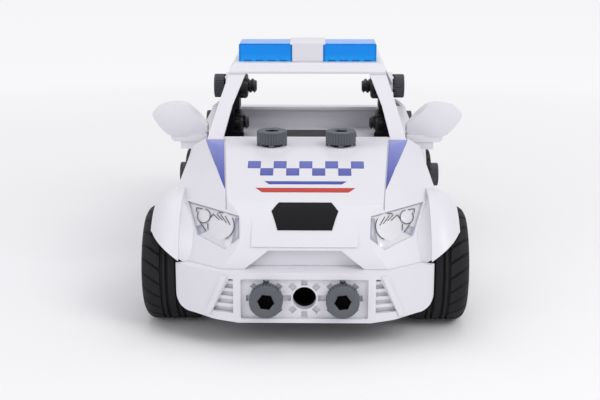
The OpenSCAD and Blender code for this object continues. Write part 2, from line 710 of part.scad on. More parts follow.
module motor() color("Silver") car() difference() {
  union() {
    intersection() {
      rod(-16, 7.6, motor_y, motor_z, 10);
      block([-20, 100, motor_z - 7.6], [20, 200, motor_z + 20]);
    }
    block([-12, motor_y - 5, motor_z - 10], [-9, motor_y + 5, motor_z - 7]);
    block([4, motor_y - 5, motor_z - 10], [7, motor_y + 5, motor_z - 7]);
    rod(7, 9.4, motor_y, motor_z, 3);
    rod(-17.4, -15, motor_y, motor_z, 3);
    for (d = [-6.4, 6]) block([-20, motor_y + d, motor_z - 1], [-15, motor_y + d + 0.4, motor_z + 1]);
  }
  rod(0, 12, motor_y, motor_z, 1 + run);
}

// Outline of a spur gear with involute flanks; add is the tooth height over the pitch line.
function inv(a) = tan(a) * 180 / PI - a;
function press(z, ro) = acos(min(1, gear_m * z / 2 * cos(20) / ro));
function half_tooth(z, ro) = 90 / z - backlash * 45 / (PI * gear_m * z / 2) + inv(20) - inv(press(z, ro));
function flank(z, r0, ra) = [for (j = [0:3]) let (ro = r0 + (ra - r0) * j / 3) [ro, half_tooth(z, ro)]];
function tooth(z, rf, r0, ra) = let (f = concat([[rf, half_tooth(z, r0)]], flank(z, r0, ra)))
  concat([for (q = f) [q[0], -q[1]]], flip_list(f));
function gear_line(z, add) = let (r = gear_m * z / 2, rf = r - 1.2 * gear_m, r0 = max(r * cos(20), rf))
  [for (k = [0:z - 1]) for (q = tooth(z, rf, r0, r + add * gear_m))
    q[0] * [cos(k * 360 / z + q[1]), sin(k * 360 / z + q[1])]];

module gear(z, add, x0, x1, y, g_z, turn) translate([0, y, g_z]) side_draw(x0, x1)
  rotate(turn) polygon(gear_line(z, add));

module axle_gear() color("Ivory") car() difference() {
  union() {
    gear(axle_teeth, 0.7, 16, 22, rear_axle_y, axle_z, 0);
    rod(15.6, 23, rear_axle_y, axle_z, 4);
  }
  rod(0, 40, rear_axle_y, axle_z, axle_r);
}

module idler_gear() color("Ivory") car() difference() {
  union() {
    gear(large_teeth, 0.62, 11, 15, idler_y, idler_z, 0);
    gear(small_teeth, 0.85, 14.5, 22, idler_y, idler_z, small_turn);
    rod(10.6, 23, idler_y, idler_z, 2.6);
  }
  rod(0, 40, idler_y, idler_z, 1.5 + run);
}

module idler_pin() color("Silver") car() rod(8, 26, idler_y, idler_z, 1.5);

module motor_pinion() color("Gold") car() {
  gear(pinion_teeth, 0.85, 11, 15.4, motor_y, motor_z, pinion_turn);
  rod(2, 16, motor_y, motor_z, 1);
}

// Battery box and board

module battery_cells() color("Gold") car() for (i = [-1:1]) {
  bar(i * pitch, 19.6, 82.4, 131.6, 7.1);
  bar(i * pitch, 19.6, i == 0 ? 131 : 81.4, i == 0 ? 132.6 : 83, 2.6);
}

module battery_contacts() color("Silver") car() {
  for (i = [-1:1]) {
    block([i * pitch - 5, 81, 14.6], [i * pitch + 5, i == 0 ? 82.4 : 81.4, 24.6]);
    block([i * pitch - 5, i == 0 ? 132.6 : 131.6, 14.6], [i * pitch + 5, 134, 24.6]);
  }
}

module battery_cover() color("DimGray") car() difference() {
  union() {
    block([-22.8, 81.2, tub_z], [22.8, 133.8, tub_z + 2]);
    block([-10, 79.2, tub_z + 2.1], [10, 82.2, tub_z + 4]);
    block([-10, 81.2, tub_z + 1], [10, 82.2, tub_z + 4]);
    block([-5, 132, tub_z], [5, 143, tub_z + 2]);
  }
  translate([0, 138.6, 0]) cylinder(r = 1.6, h = 20);
  translate([0, 138.6, 5]) cylinder(r = 2.9, h = 6);
  for (i = [0:5]) block([-12, 92 + i * 6, 5], [12, 94.4 + i * 6, tub_z + 0.6]);
}

module battery_screw() color("Silver") car() difference() {
  union() {
    translate([0, 138.6, tub_z + 0.1]) cylinder(r = 2.6, h = 0.9);
    translate([0, 138.6, tub_z + 0.5]) cylinder(r = 1.2, h = 7);
  }
  translate([-0.4, 138.6 - 2, 5]) cube([0.8, 4, tub_z + 0.5 - 5]);
  translate([-2, 138.6 - 0.4, 5]) cube([4, 0.8, tub_z + 0.5 - 5]);
}

module circuit_board() color("SeaGreen") car() union() {
  block([-20, 84, 31], [20, 130, 32.6]);
  for (x = [-17, 17], y = [87, 127]) translate([x, y, 29]) cylinder(r = 1.8, h = 2.2);
  block([-8, 100, 32.4], [6, 110, 34.4]);
  for (i = [0:2]) translate([12, 96 + i * 9, 32.4]) cylinder(r = 2.5, h = 6);
}

module power_switch() color("DarkSlateGray") car() {
  block([-15.6, 193.5, 9], [-12.4, 198.5, 13]);
  block([-18, 192.4, 12.3], [-10, 199.6, 14]);
}

// Wheels

module front_axle() color("Silver") car() rod(-front_x - 10.6, front_x + 10.6, front_axle_y, axle_z, axle_r);
module rear_axle() color("Silver") car() rod(-rear_x - 10.6, rear_x + 10.6, rear_axle_y, axle_z, axle_r);

module cap(x, y) translate([x + 9.3, y, axle_z]) rotate([0, 90, 0]) difference() {
  union() {
    cylinder(r = 5, h = 1.6);
    translate([0, 0, 1.6]) cylinder(r1 = 5, r2 = 3.8, h = 1);
  }
  translate([0, 0, -1]) cylinder(r = axle_r, h = 2.3);
}

module front_axle_caps() color("DimGray") car() both() cap(front_x, front_axle_y);
module rear_axle_caps() color("DimGray") car() both() cap(rear_x, rear_axle_y);

// A wheel about its own axis: the outer face looks along +z.
module rim(bore) difference() {
  union() {
    rotate_extrude() polygon([[14.6, -11], [18.2, -11], [18.2, -9.6], [17, -9.2], [17, 9.2],
      [18.2, 9.6], [18.2, 11], [16.4, 11], [14.8, 9], [14.8, -9]]);
    rotate_extrude() polygon([[0, -12.5], [5.4, -12.5], [5.4, 3.6], [15.4, 3], [15.4, 6.4],
      [7, 7.4], [6.6, 9], [0, 9]]);
  }
  for (a = [0:72:288]) rotate(a) translate([0, 0, 0]) linear_extrude(12)
    polygon(concat(arc([0, 0], 13.8, -25, 25, 8), arc([0, 0], 8.4, 18, -18, 5)));
  translate([0, 0, -20]) cylinder(r = bore, h = 40);
}

// A groove round the tread at distance x off the middle of the tyre.
function ring_groove(x) = [[axle_z, x - 0.5], [axle_z - 1, x - 0.25],
  [axle_z - 1, x + 0.25], [axle_z, x + 0.5]];
shoulder_r = 4.4;

module tyre() difference() {
  rotate_extrude($fn = 96) polygon(concat(
    [[17, -9.2], [18.2, -9.6], [18.2, -11], [19.6, -12.2], [21, -tyre_w / 2]],
    arc([axle_z - shoulder_r, -tyre_w / 2 + shoulder_r], shoulder_r, -70, 0, 6),
    ring_groove(-4.3), ring_groove(-2), ring_groove(2), ring_groove(4.3),
    arc([axle_z - shoulder_r, tyre_w / 2 - shoulder_r], shoulder_r, 0, 70, 6),
    [[21, tyre_w / 2], [19.6, 12.2], [18.2, 11], [18.2, 9.6], [17, 9.2]]));
  // slanting grooves over both shoulders
  for (a = [0:15:345]) rotate(a) {
    translate([axle_z - 0.8, 0, 9]) rotate([35, 0, 0]) block([0, -0.45, -4.4], [4, 0.45, 8]);
    translate([axle_z - 0.8, 0, -9]) rotate([-35, 0, 0]) block([0, -0.45, -8], [4, 0.45, 4.4]);
  }
}

module at_wheel(x, y) car() translate([x, y, axle_z]) rotate([0, x > 0 ? 90 : -90, 0]) children();

module front_left_rim() color("Silver") at_wheel(front_x, front_axle_y) rim(axle_r + run);
module front_right_rim() color("Silver") at_wheel(-front_x, front_axle_y) rim(axle_r + run);
module rear_left_rim() color("Silver") at_wheel(rear_x, rear_axle_y) rim(axle_r);
module rear_right_rim() color("Silver") at_wheel(-rear_x, rear_axle_y) rim(axle_r);
module front_left_tyre() color("DarkSlateGray") at_wheel(front_x, front_axle_y) tyre();
module front_right_tyre() color("DarkSlateGray") at_wheel(-front_x, front_axle_y) tyre();
module rear_left_tyre() color("DarkSlateGray") at_wheel(rear_x, rear_axle_y) tyre();
module rear_right_tyre() color("DarkSlateGray") at_wheel(-rear_x, rear_axle_y) tyre();

// Bolt and nut sets

module bumper_bolts() color("SlateGray") car() both()
  translate([pitch, seat_y, bolt_z]) rotate([90, 0, 0]) bolt();
module bumper_nuts() color("DimGray") car() both() translate([pitch, 12.5, bolt_z]) rotate([90, 0, 0]) nut();
module bonnet_bolts() color("SlateGray") car() both() translate([pitch, hood_bolt_y, hood_z + lug_h]) bolt();
module bonnet_nuts() color("DimGray") car() both() translate([pitch, hood_bolt_y, hood_z - 7]) nut();
module pillar_bolts() color("SlateGray") car() side_bolt(top_seat_x + lug_h, mid_bolt_y, top_bolt_z);
module pillar_nuts() color("DimGray") car() side_nut(38.8, mid_bolt_y, top_bolt_z);
module side_bolts() color("SlateGray") car() side_bolt(50.9 + lug_h, mid_bolt_y, mid_bolt_z);
module side_nuts() color("DimGray") car() side_nut(41.8, mid_bolt_y, mid_bolt_z);
module sill_bolts() color("SlateGray") car() side_bolt(58.6 + lug_h, sill_bolt_y, sill_bolt_z);
module sill_nuts() color("DimGray") car() side_nut(50.1, sill_bolt_y, sill_bolt_z);
module rear_bumper_bolts() color("SlateGray") car() side_bolt(low_seat_x + lug_h, low_bolt_y, low_bolt_z);
module rear_bumper_nuts() color("DimGray") car() side_nut(61.5, low_bolt_y, low_bolt_z);

chassis_tub();
chassis_cover();
side_brackets();
tail_beam();
front_axle_bushes();
rear_axle_bushes();
front_bumper();
bonnet();
left_side_panel();
right_side_panel();
roof_frame();
tail();
rear_bumper();
left_upright();
right_upright();
left_mirror();
right_mirror();
light_bar_lens();
light_bar_saddle();
bumper_bolts();
bumper_nuts();
bonnet_bolts();
bonnet_nuts();
pillar_bolts();
pillar_nuts();
side_bolts();
side_nuts();
sill_bolts();
sill_nuts();
rear_bumper_bolts();
rear_bumper_nuts();
motor();
battery_cells();
battery_contacts();
battery_cover();
battery_screw();
circuit_board();
front_axle();
front_axle_caps();
front_left_rim();
front_left_tyre();
front_right_rim();
front_right_tyre();
rear_axle();
rear_axle_caps();
axle_gear();
rear_left_rim();
rear_left_tyre();
rear_right_rim();
rear_right_tyre();
idler_gear();
idler_pin();
motor_pinion();
power_switch();
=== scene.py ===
# %% [markdown]
# # A toy police car that bolts together
# The solids of the car come in as a fixed frame: every wall, bolt and wheel already stands where
# it belongs. This lesson gives them their looks. The mouldings get their plastics, and soft edges
# where their folds allow it. Bolts, nuts and tyres get their fine forms, then come stickers and
# headlamps, and floor and light are last.

# %% Load the car
import math

import bmesh
import bpy
import numpy as np
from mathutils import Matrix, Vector


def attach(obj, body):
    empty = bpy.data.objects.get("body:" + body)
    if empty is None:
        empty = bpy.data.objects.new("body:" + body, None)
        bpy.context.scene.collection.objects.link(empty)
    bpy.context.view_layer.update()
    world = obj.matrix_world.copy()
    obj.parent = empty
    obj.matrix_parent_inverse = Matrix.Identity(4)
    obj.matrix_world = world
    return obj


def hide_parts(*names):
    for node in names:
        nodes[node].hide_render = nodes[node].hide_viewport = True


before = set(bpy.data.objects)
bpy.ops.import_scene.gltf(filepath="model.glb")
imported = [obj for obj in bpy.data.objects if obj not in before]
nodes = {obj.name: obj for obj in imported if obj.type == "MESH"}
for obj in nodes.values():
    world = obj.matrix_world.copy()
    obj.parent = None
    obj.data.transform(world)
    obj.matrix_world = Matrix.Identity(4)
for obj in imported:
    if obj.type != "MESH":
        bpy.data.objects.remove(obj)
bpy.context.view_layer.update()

# %% [markdown]
# ## Places
# The car was drawn in millimetres with its length counted from the nose backwards. The frame is
# in metres about the car's middle, so one function turns a place on the drawing (across, back
# from the nose, up) into a place in the frame. All shapes below are written in millimetres.

# %% From the drawing to the frame
MM = 0.001
NOSE = 125.0


def at(across, back, up):
    """Points of the frame in metres: (across, back - NOSE, up) / 1000, for arrays of one shape."""
    across, back, up = np.broadcast_arrays(across, back, up)
    return np.stack([across, back - NOSE, up], -1) * MM


print("nose at", at(0.0, 0.0, 0.0))

# %% [markdown]
# ## The camera
# The photo looks at the nose from a little above head height for a toy, with a long lens. The
# place of the eye was worked out from bolts of one size that stand at different distances.
# It comes early, because every later choice is judged through it.

# %% Stand the camera
EYE_ACROSS, EYE_AHEAD, EYE_UP = 5.15, 430.0, 173.6
LOOK_DOWN, LOOK_LEFT = 14.47, 0.905
FOCAL_PIXELS, PHOTO_WIDE, SENSOR = 1170.6, 600, 36.0
NEAREST_SEEN = 0.01

camera_data = bpy.data.cameras.new("photo_camera")
camera_data.sensor_width = SENSOR
camera_data.lens = SENSOR * FOCAL_PIXELS / PHOTO_WIDE
camera_data.clip_start = NEAREST_SEEN
camera = bpy.data.objects.new("photo_camera", camera_data)
bpy.context.scene.collection.objects.link(camera)
camera.location = at(EYE_ACROSS, -EYE_AHEAD, EYE_UP)
camera.rotation_euler = (math.radians(90 - LOOK_DOWN), 0, math.radians(LOOK_LEFT))
bpy.context.scene.camera = camera
print("lens", round(camera_data.lens, 1), "mm at", [round(v, 3) for v in camera.location])

# %% [markdown]
# ## Finishes as sums
# A finish is a small circuit of nodes. Wiring it by hand is long, so one class wraps a socket:
# sums and products of it add Math nodes, and its one method adds any other node.

# %% A socket that can be reckoned with
class Flow:
    """One socket of a finish. Adding, taking away or multiplying adds a Math node."""

    def __init__(self, tree, socket):
        self.tree, self.socket = tree, socket

    def node(self, kind, settings=None, inputs=None, output=0):
        """Adds a node of that kind: its settings first, then the values or links of its sockets."""
        made = self.tree.nodes.new("ShaderNode" + kind)
        for key, value in (settings or {}).items():
            setattr(made, key, value)
        for key, value in (inputs or {}).items():
            if isinstance(value, Flow):
                self.tree.links.new(value.socket, made.inputs[key])
            else:
                made.inputs[key].default_value = value
        return Flow(self.tree, made.outputs[output])

    def reckon(self, operation, first, second):
        """A Math node on two values or sockets."""
        return self.node("Math", {"operation": operation}, {0: first, 1: second})

    def __add__(self, other):
        return self.reckon("ADD", self, other)

    def __radd__(self, other):
        return self.reckon("ADD", other, self)

    def __sub__(self, other):
        return self.reckon("SUBTRACT", self, other)

    def __rsub__(self, other):
        return self.reckon("SUBTRACT", other, self)

    def __mul__(self, other):
        return self.reckon("MULTIPLY", self, other)

    def __rmul__(self, other):
        return self.reckon("MULTIPLY", other, self)


print("sums of a socket:", [name for name in vars(Flow) if name.startswith("__r")])

# %% [markdown]
# Some steps come up in many finishes: the value without its sign, the largest of several values,
# one coordinate of a place, a value that climbs evenly between two ends, and a colour between
# two tones. Each is a function of flows.

# %% Small steps
ACROSS, BACK, UP = 0, 1, 2


def unsigned(flow):
    """The value without its sign."""
    return flow.reckon("ABSOLUTE", flow, 0.0)


def largest(first, *others):
    """The largest of several values."""
    for other in others:
        first = first.reckon("MAXIMUM", first, other)
    return first


def coordinate(place, axis):
    """One coordinate of a place: ACROSS, BACK or UP."""
    return place.node("SeparateXYZ", {}, {0: place}, axis)


def climb(value, start, end, first=0.0, last=1.0):
    """Goes evenly from first, where the value is start, to last, where it is end, and stays there."""
    return value.node("MapRange", {}, {0: value, 1: start, 2: end, 3: first, 4: last})


def tone(share, first, second):
    """Colour between two tones or flows: first where share is 0, second where it is 1."""
    ends = [end if isinstance(end, Flow) else (*end, 1) for end in (first, second)]
    return share.node("Mix", {"data_type": "RGBA"}, {0: share, 6: ends[0], 7: ends[1]}, 2)


print("steps:", [step.__name__ for step in (unsigned, largest, coordinate, climb, tone)])


# %% [markdown]
# Every finish here is the same recipe with other numbers: a colour that drifts slowly between
# two close tones, a roughness that wanders a little, and a fine grain as bump. What is the same
# all over goes straight on the shader's own socket. The grains are listed once, from the fine
# skin of a polished mould to the coarse one of rubber.

# %% The recipe
TONE_LUMPS, ROUGH_LUMPS = 22, 140
SOFT_DETAIL, GRAIN_DETAIL = 2.0, 3.0
# lumps to the metre, depth in millimetres, strength
GRAINS = {"fine": (2600, 0.02, 0.15), "satin": (2200, 0.02, 0.2), "matt": (1900, 0.04, 0.35),
          "rubber": (1500, 0.05, 0.4), "machined": (900, 0.01, 0.2), "rolled": (700, 0.01, 0.2),
          "clear": (900, 0.01, 0.05), "film": (3000, 0.01, 0.1), "foil": (2500, 0.01, 0.1)}
finishes = {}


def drift(place, lumps, detail=SOFT_DETAIL):
    """A noise between 0 and 1 with that many lumps to the metre."""
    return place.node("TexNoise", {}, {"Vector": place, "Scale": lumps, "Detail": detail})


def grain(place, kind):
    """A bump from fine noise, with the lumps, depth and strength of that kind of grain."""
    lumps, depth, strength = GRAINS[kind]
    height = drift(place, lumps, GRAIN_DETAIL)
    return place.node("Bump", {}, {"Height": height, "Distance": depth * MM, "Strength": strength})


def shader(name, constants):
    """A new finish: its main shader with the constants set, and the Object coordinates."""
    made = bpy.data.materials.new(name)
    made.use_nodes = True
    tree = made.node_tree
    main = tree.nodes["Principled BSDF"]
    for key, value in constants.items():
        main.inputs[key].default_value = value
    coords = tree.nodes.new("ShaderNodeTexCoord")
    finishes[name] = made
    return main, Flow(tree, coords.outputs["Object"])


def wire(main, colour, rough, normal):
    """Links the three flows that change over a surface to the main shader."""
    for name, flow in {"Base Color": colour, "Roughness": rough, "Normal": normal}.items():
        flow.tree.links.new(flow.socket, main.inputs[name])


def plain_finish(name, light, dark, rough, spread, kind="fine", **constants):
    """The common recipe: two close tones, roughness from rough to rough + spread, one grain."""
    main, place = shader(name, {key.replace("_", " "): value for key, value in constants.items()})
    colour = tone(drift(place, TONE_LUMPS), dark, light)
    wire(main, colour, drift(place, ROUGH_LUMPS) * spread + rough, grain(place, kind))


print("grains", list(GRAINS))

# %% [markdown]
# The plain finishes follow, each with its light tone, its dark tone, its least roughness and how
# far the roughness wanders. The white is a shade under the photo's white, because light and floor
# brighten it. The bolts at the sides and the back are the same grey as those in front, painted
# darker as shade, and the threads take the nuts' black as painted shade.

# %% The plain finishes
plain_finish("white_moulding", (0.735, 0.728, 0.77), (0.70, 0.69, 0.74), 0.30, 0.12,
             Coat_Roughness=0.2, Specular_IOR_Level=0.45)
plain_finish("black_moulding", (0.018, 0.0175, 0.021), (0.012, 0.0117, 0.0142), 0.5, 0.16, "matt",
             Specular_IOR_Level=0.14)
plain_finish("bolt_grey", (0.096, 0.103, 0.119), (0.076, 0.082, 0.096), 0.36, 0.14, "satin")
# painted shade: the front bolts' grey, darkened for the heads at the sides and the back
plain_finish("bolt_grey_painted_shade", (0.058, 0.060, 0.074), (0.042, 0.044, 0.055), 0.42, 0.14, "satin")
# the nuts' own black, which also paints shade on the grey threads
plain_finish("nut_black_and_thread_shade", (0.022, 0.022, 0.024), (0.014, 0.014, 0.016), 0.38, 0.14, "satin")
plain_finish("tyre_black", (0.011, 0.011, 0.0135), (0.0055, 0.0055, 0.007), 0.6, 0.2, "rubber",
             Specular_IOR_Level=0.3)
# painted shade for the insides of the sockets
plain_finish("socket_painted_shade", (0.004, 0.004, 0.005), (0.002, 0.002, 0.0025), 0.7, 0.2,
             Specular_IOR_Level=0.1)
plain_finish("rim_silver", (0.52, 0.53, 0.56), (0.46, 0.47, 0.50), 0.30, 0.12, Metallic=0.25)
plain_finish("axle_bright", (0.66, 0.66, 0.68), (0.58, 0.58, 0.61), 0.22, 0.16, "machined",
             Metallic=1.0)
plain_finish("can_plated", (0.64, 0.64, 0.66), (0.55, 0.55, 0.58), 0.26, 0.18, "rolled",
             Metallic=1.0)
plain_finish("gear_natural", (0.80, 0.77, 0.69), (0.74, 0.71, 0.62), 0.38, 0.12)
plain_finish("pinion_brass", (0.78, 0.58, 0.25), (0.68, 0.49, 0.19), 0.24, 0.18, "machined",
             Metallic=1.0)
plain_finish("board_green", (0.035, 0.20, 0.09), (0.02, 0.13, 0.055), 0.35, 0.15)
plain_finish("cell_jacket", (0.10, 0.11, 0.12), (0.07, 0.075, 0.085), 0.25, 0.1)
print("plain finishes", len(finishes))

# %% [markdown]
# The clear blue lens is thick. Its colour holds painted shade and painted light: its edges are
# painted a deeper blue as shade, and low down a lighter blue is painted in patches as light that
# gathers there. Both are worked out from the box that the lens fills: bands just inside its top,
# its outer ends and the lips of the saddle get the painted shade, and a low strip the painted light.

# %% The lens
EDGE_MIDDLE, EDGE_HALF, GLOW_HIGH, SADDLE_LIP = 0.5, 0.45, 3.4, 1.1
# the lit blue is painted light low in the lens, the deep blue painted shade along its edges
LENS_BLUE, LENS_LIT, LENS_SHADE_BLUE = (0.0, 0.31, 0.80), (0.02, 0.62, 0.92), (0.0, 0.10, 0.42)
LENS_PATCHES, LENS_ROUGH, LENS_SPREAD = 420, 0.08, 0.06
lens_corners = np.array(nodes["light_bar_lens"].bound_box)
lens_low, lens_high = lens_corners.min(0).tolist(), lens_corners.max(0).tolist()
saddle_end = float(np.array(nodes["light_bar_saddle"].bound_box)[:, ACROSS].max())


def edge_band(distance):
    """1 at EDGE_MIDDLE inside an edge, falling to 0 within EDGE_HALF to either side."""
    return climb(unsigned(distance - EDGE_MIDDLE * MM), 0.0, EDGE_HALF * MM, 1.0, 0.0)


# the emission is a faint painted glow; the lens is no lamp
lens_main, lens_place = shader("lens_blue", {
    "Transmission Weight": 0.45, "IOR": 1.46, "Specular IOR Level": 0.05,
    "Emission Strength": 0.2, "Emission Color": (0.0, 0.21, 0.60, 1)})
lens_up = coordinate(lens_place, UP)
lens_off = unsigned(coordinate(lens_place, ACROSS))
# painted shade: bands of deeper blue along the top, the outer ends and the saddle's lips
lens_edge_shade = largest(edge_band(lens_high[UP] - lens_up), edge_band(lens_high[ACROSS] - lens_off),
               edge_band(lens_off - (saddle_end - SADDLE_LIP * MM)))
# painted light: a lighter blue in patches along a low strip of the lens
low_light_share = climb(lens_up, lens_low[UP], lens_low[UP] + GLOW_HIGH * MM, 1.0, 0.0)
lens_painted_light = tone(low_light_share * drift(lens_place, LENS_PATCHES), LENS_BLUE, LENS_LIT)
wire(lens_main, tone(lens_edge_shade, lens_painted_light, LENS_SHADE_BLUE),
     drift(lens_place, ROUGH_LUMPS) * LENS_SPREAD + LENS_ROUGH, grain(lens_place, "clear"))
print("finishes", sorted(finishes))

# %% [markdown]
# ## Moulded edges
# A solid of flat faces looks cut from board. Injection moulding always leaves small radii, and
# the eye reads them as the bright lines along each edge. The solids stay as they are: modifiers
# on top of them close the loose triangles, join what is flat, round every edge sharper than a
# limit, and let the large faces rule the shading. Bumper, bonnet, side panels, roof frame,
# mirrors, lens and the pieces inside have too many small folds for rounding, so their edges are
# only split, which keeps each crease crisp.

# %% Round or split the edges of a solid
# the gap is in millimetres, the turns are in degrees
WELD_GAP, FLAT_TURN, SHARP_TURN = 0.004, 0.4, 28
ROUND_STEPS, FACE_WEIGHT = 3, 60
moulded = []


def mould(name, finish, edge=0):
    """Gives a solid its finish and rounds its edges by that many millimetres, or splits them at 0."""
    piece = nodes[name]
    piece.data.materials.clear()
    piece.data.materials.append(finishes[finish])
    weld = piece.modifiers.new("close", "WELD")
    weld.merge_threshold = WELD_GAP * MM
    flat = piece.modifiers.new("join_flat", "DECIMATE")
    flat.decimate_type = "DISSOLVE"
    flat.angle_limit = math.radians(FLAT_TURN)
    if edge:
        soft = piece.modifiers.new("soft_edges", "BEVEL")
        soft.width = edge * MM
        soft.segments = ROUND_STEPS
        soft.limit_method = "ANGLE"
        soft.angle_limit = math.radians(SHARP_TURN)
        soft.use_clamp_overlap = False
        soft.miter_outer = "MITER_ARC"
    else:
        crisp = piece.modifiers.new("crisp_edges", "EDGE_SPLIT")
        crisp.split_angle = math.radians(SHARP_TURN)
    even = piece.modifiers.new("even_shading", "WEIGHTED_NORMAL")
    even.weight = FACE_WEIGHT
    moulded.append(name)


print("an edge is sharp from", SHARP_TURN, "degrees")

# %% Mould the body, the chassis and what is inside
for name in ("front_bumper", "bonnet", "left_side_panel", "right_side_panel", "roof_frame",
             "left_mirror", "right_mirror"):
    mould(name, "white_moulding")
for name, edge in {"tail": 0.5, "rear_bumper": 0.5, "light_bar_saddle": 0.3}.items():
    mould(name, "white_moulding", edge)
mould("light_bar_lens", "lens_blue")
black_edges = {"chassis_tub": 0.3, "chassis_cover": 0.4, "left_upright": 0.4, "right_upright": 0.4,
               "side_brackets": 0.3, "tail_beam": 0.3, "front_axle_bushes": 0.3,
               "rear_axle_bushes": 0.3, "battery_cover": 0.25, "power_switch": 0.2,
               "front_axle_caps": 0.25, "rear_axle_caps": 0.25}
for name, edge in black_edges.items():
    mould(name, "black_moulding", edge)
inner = {"motor": "can_plated", "battery_cells": "cell_jacket", "battery_contacts": "axle_bright",
         "battery_screw": "axle_bright", "circuit_board": "board_green", "front_axle": "axle_bright",
         "rear_axle": "axle_bright", "idler_pin": "axle_bright", "axle_gear": "gear_natural",
         "idler_gear": "gear_natural", "motor_pinion": "pinion_brass"}
for name, finish in inner.items():
    mould(name, finish)
RIM_EDGE = 0.25
for name in nodes:
    if name.endswith("_rim"):
        mould(name, "rim_silver", RIM_EDGE)
print("moulded", len(moulded), "of", len(nodes), "solids")

# %% [markdown]
# ## Shapes on a grid
# The finer pieces are surfaces worked out as whole arrays: a function gives a point for every
# pair of two numbers, such as a place along a profile and an angle. The grid of points becomes
# a mesh of quads. Where a row shrinks to one point the doubles are merged, so poles close.

# %% From grids of points to a mesh
SAME_POINT = 0.002


def grid_faces(rows, columns, around):
    """Corner numbers of the quads of a grid; around joins the last column to the first."""
    row, column = np.meshgrid(np.arange(rows - 1), np.arange(columns - (not around)), indexing="ij")
    right = (column + 1) % columns
    here, after = row * columns, (row + 1) * columns
    corners = [here + column, here + right, after + right, after + column]
    return np.stack(corners, -1).reshape(-1, 4)


def grid_mesh(name, grids, sharp, around):
    """One mesh from grids of points (rows x columns x 3), smooth where faces turn by less than sharp."""
    points, faces, count = [], [], 0
    for grid in grids:
        rows, columns = grid.shape[:2]
        points.append(grid.reshape(-1, 3))
        faces.append(grid_faces(rows, columns, around) + count)
        count += rows * columns
    points, faces = np.concatenate(points), np.concatenate(faces)
    mesh = bpy.data.meshes.new(name)
    mesh.vertices.add(len(points))
    mesh.vertices.foreach_set("co", points.ravel().astype(np.float32))
    mesh.loops.add(faces.size)
    mesh.loops.foreach_set("vertex_index", faces.ravel().astype(np.int32))
    mesh.polygons.add(len(faces))
    mesh.polygons.foreach_set("loop_start", np.arange(0, faces.size, 4, dtype=np.int32))
    mesh.update(calc_edges=True)
    shape = bmesh.new()
    shape.from_mesh(mesh)
    bmesh.ops.remove_doubles(shape, verts=shape.verts, dist=SAME_POINT * MM)
    bmesh.ops.recalc_face_normals(shape, faces=shape.faces)
    shape.to_mesh(mesh)
    shape.free()
    mesh.polygons.foreach_set("use_smooth", np.ones(len(mesh.polygons), bool))
    mesh.set_sharp_from_angle(angle=math.radians(sharp))
    return mesh


print("quads between 3 x 4 points:", len(grid_faces(3, 4, around=False)), "or, joined round,",
      len(grid_faces(3, 4, around=True)))

# %% [markdown]
# A mesh becomes a piece of the car when it has a finish and rides on one of the moving bodies. A
# finer form of a solid also stands in for it.

# %% From a mesh to a piece
def make_piece(name, grids, finish, sharp=38, body="car_body", stands_for=(), around=True):
    """A piece from grids of points in metres, which rides on a body and may stand for solids."""
    mesh = grid_mesh(name, grids, sharp, around)
    mesh.materials.append(finishes[finish])
    piece = bpy.data.objects.new(name, mesh)
    bpy.context.scene.collection.objects.link(piece)
    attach(piece, body)
    if stands_for:
        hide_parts(*stands_for)
    return piece


def turned(radius, height, angle):
    """Points (radius cos, radius sin, height) of a body of revolution about z, in millimetres."""
    radius, height, angle = np.broadcast_arrays(radius, height, angle)
    return np.stack([radius * np.cos(angle), radius * np.sin(angle), height], -1)


def angles(count):
    """That many equal steps of a whole turn, as one row."""
    return np.linspace(0, 2 * np.pi, count, endpoint=False)[None, :]


def wave(turns):
    """A ridge that rises and falls once a turn: 0 at whole turns, 1 between them."""
    return 0.5 - 0.5 * np.cos(2 * np.pi * turns)


def column(values):
    """Values along a profile, as one column."""
    return np.array(values)[:, None]


print("ridge over half a turn:", wave(np.array([0.0, 0.25, 0.5])).round(2))

# A head is one profile turned about its axis. Along the side the radius dips 32 times a turn,
# and in the socket it follows a hexagon instead of a circle. Flutes that are cut one by one
# leave long thin faces; as dips they are even quads.

# %% The head of a bolt
HEAD_R, HEAD_H, HEAD_UNDER, HEAD_FLAT = 6.6, 5.6, 5.2, 5.0
SOCKET_R, SOCKET_DEEP = 2.9, 4.3
FLUTES, FLUTE_DEEP, FLUTE_ROUND = 32, 0.42, 1.5
STEPS_A_FLUTE, SIDE_ROWS = 6, 5


def hex_share(angle):
    """Radius of a hexagon over its inner radius: 1 / cos(angle to the nearest flat)."""
    return 1 / np.cos(np.mod(angle, np.pi / 3) - np.pi / 6)


def bolt_head():
    """radius(row) less the flute, or the radius times hex_share in the socket."""
    # radius, height, share of flute, share of hexagon
    under = [(0, 0, 0, 0), (HEAD_UNDER, 0, 0, 0), (HEAD_R - 0.25, 0, 1, 0), (HEAD_R - 0.05, 0.2, 1, 0)]
    side = [(HEAD_R, height, 1, 0) for height in np.linspace(0.45, HEAD_H - 0.75, SIDE_ROWS)]
    crown = [(HEAD_R - 0.02, HEAD_H - 0.55, 0.55, 0), (HEAD_R - 0.1, HEAD_H - 0.32, 0, 0),
             (HEAD_R - 0.28, HEAD_H - 0.1, 0, 0), (HEAD_R - 0.6, HEAD_H, 0, 0), (HEAD_FLAT, HEAD_H, 0, 0)]
    socket = [(SOCKET_R + 0.75, HEAD_H, 0, 0), (SOCKET_R + 0.5, HEAD_H - 0.06, 0, 0.5),
              (SOCKET_R, HEAD_H - 0.4, 0, 1), (SOCKET_R, HEAD_H - SOCKET_DEEP, 0, 1),
              (0, HEAD_H - SOCKET_DEEP - 0.1, 0, 0)]
    radius, height, flute, hexed = (column(values) for values in zip(*under, *side, *crown, *socket))
    angle = angles(FLUTES * STEPS_A_FLUTE)
    round_r = radius - flute * FLUTE_DEEP * wave(angle * FLUTES / (2 * np.pi)) ** FLUTE_ROUND
    return turned((1 - hexed) * round_r + hexed * radius * hex_share(angle), height, angle)


head_grid = bolt_head()
print("points of a head", head_grid.shape[:2])
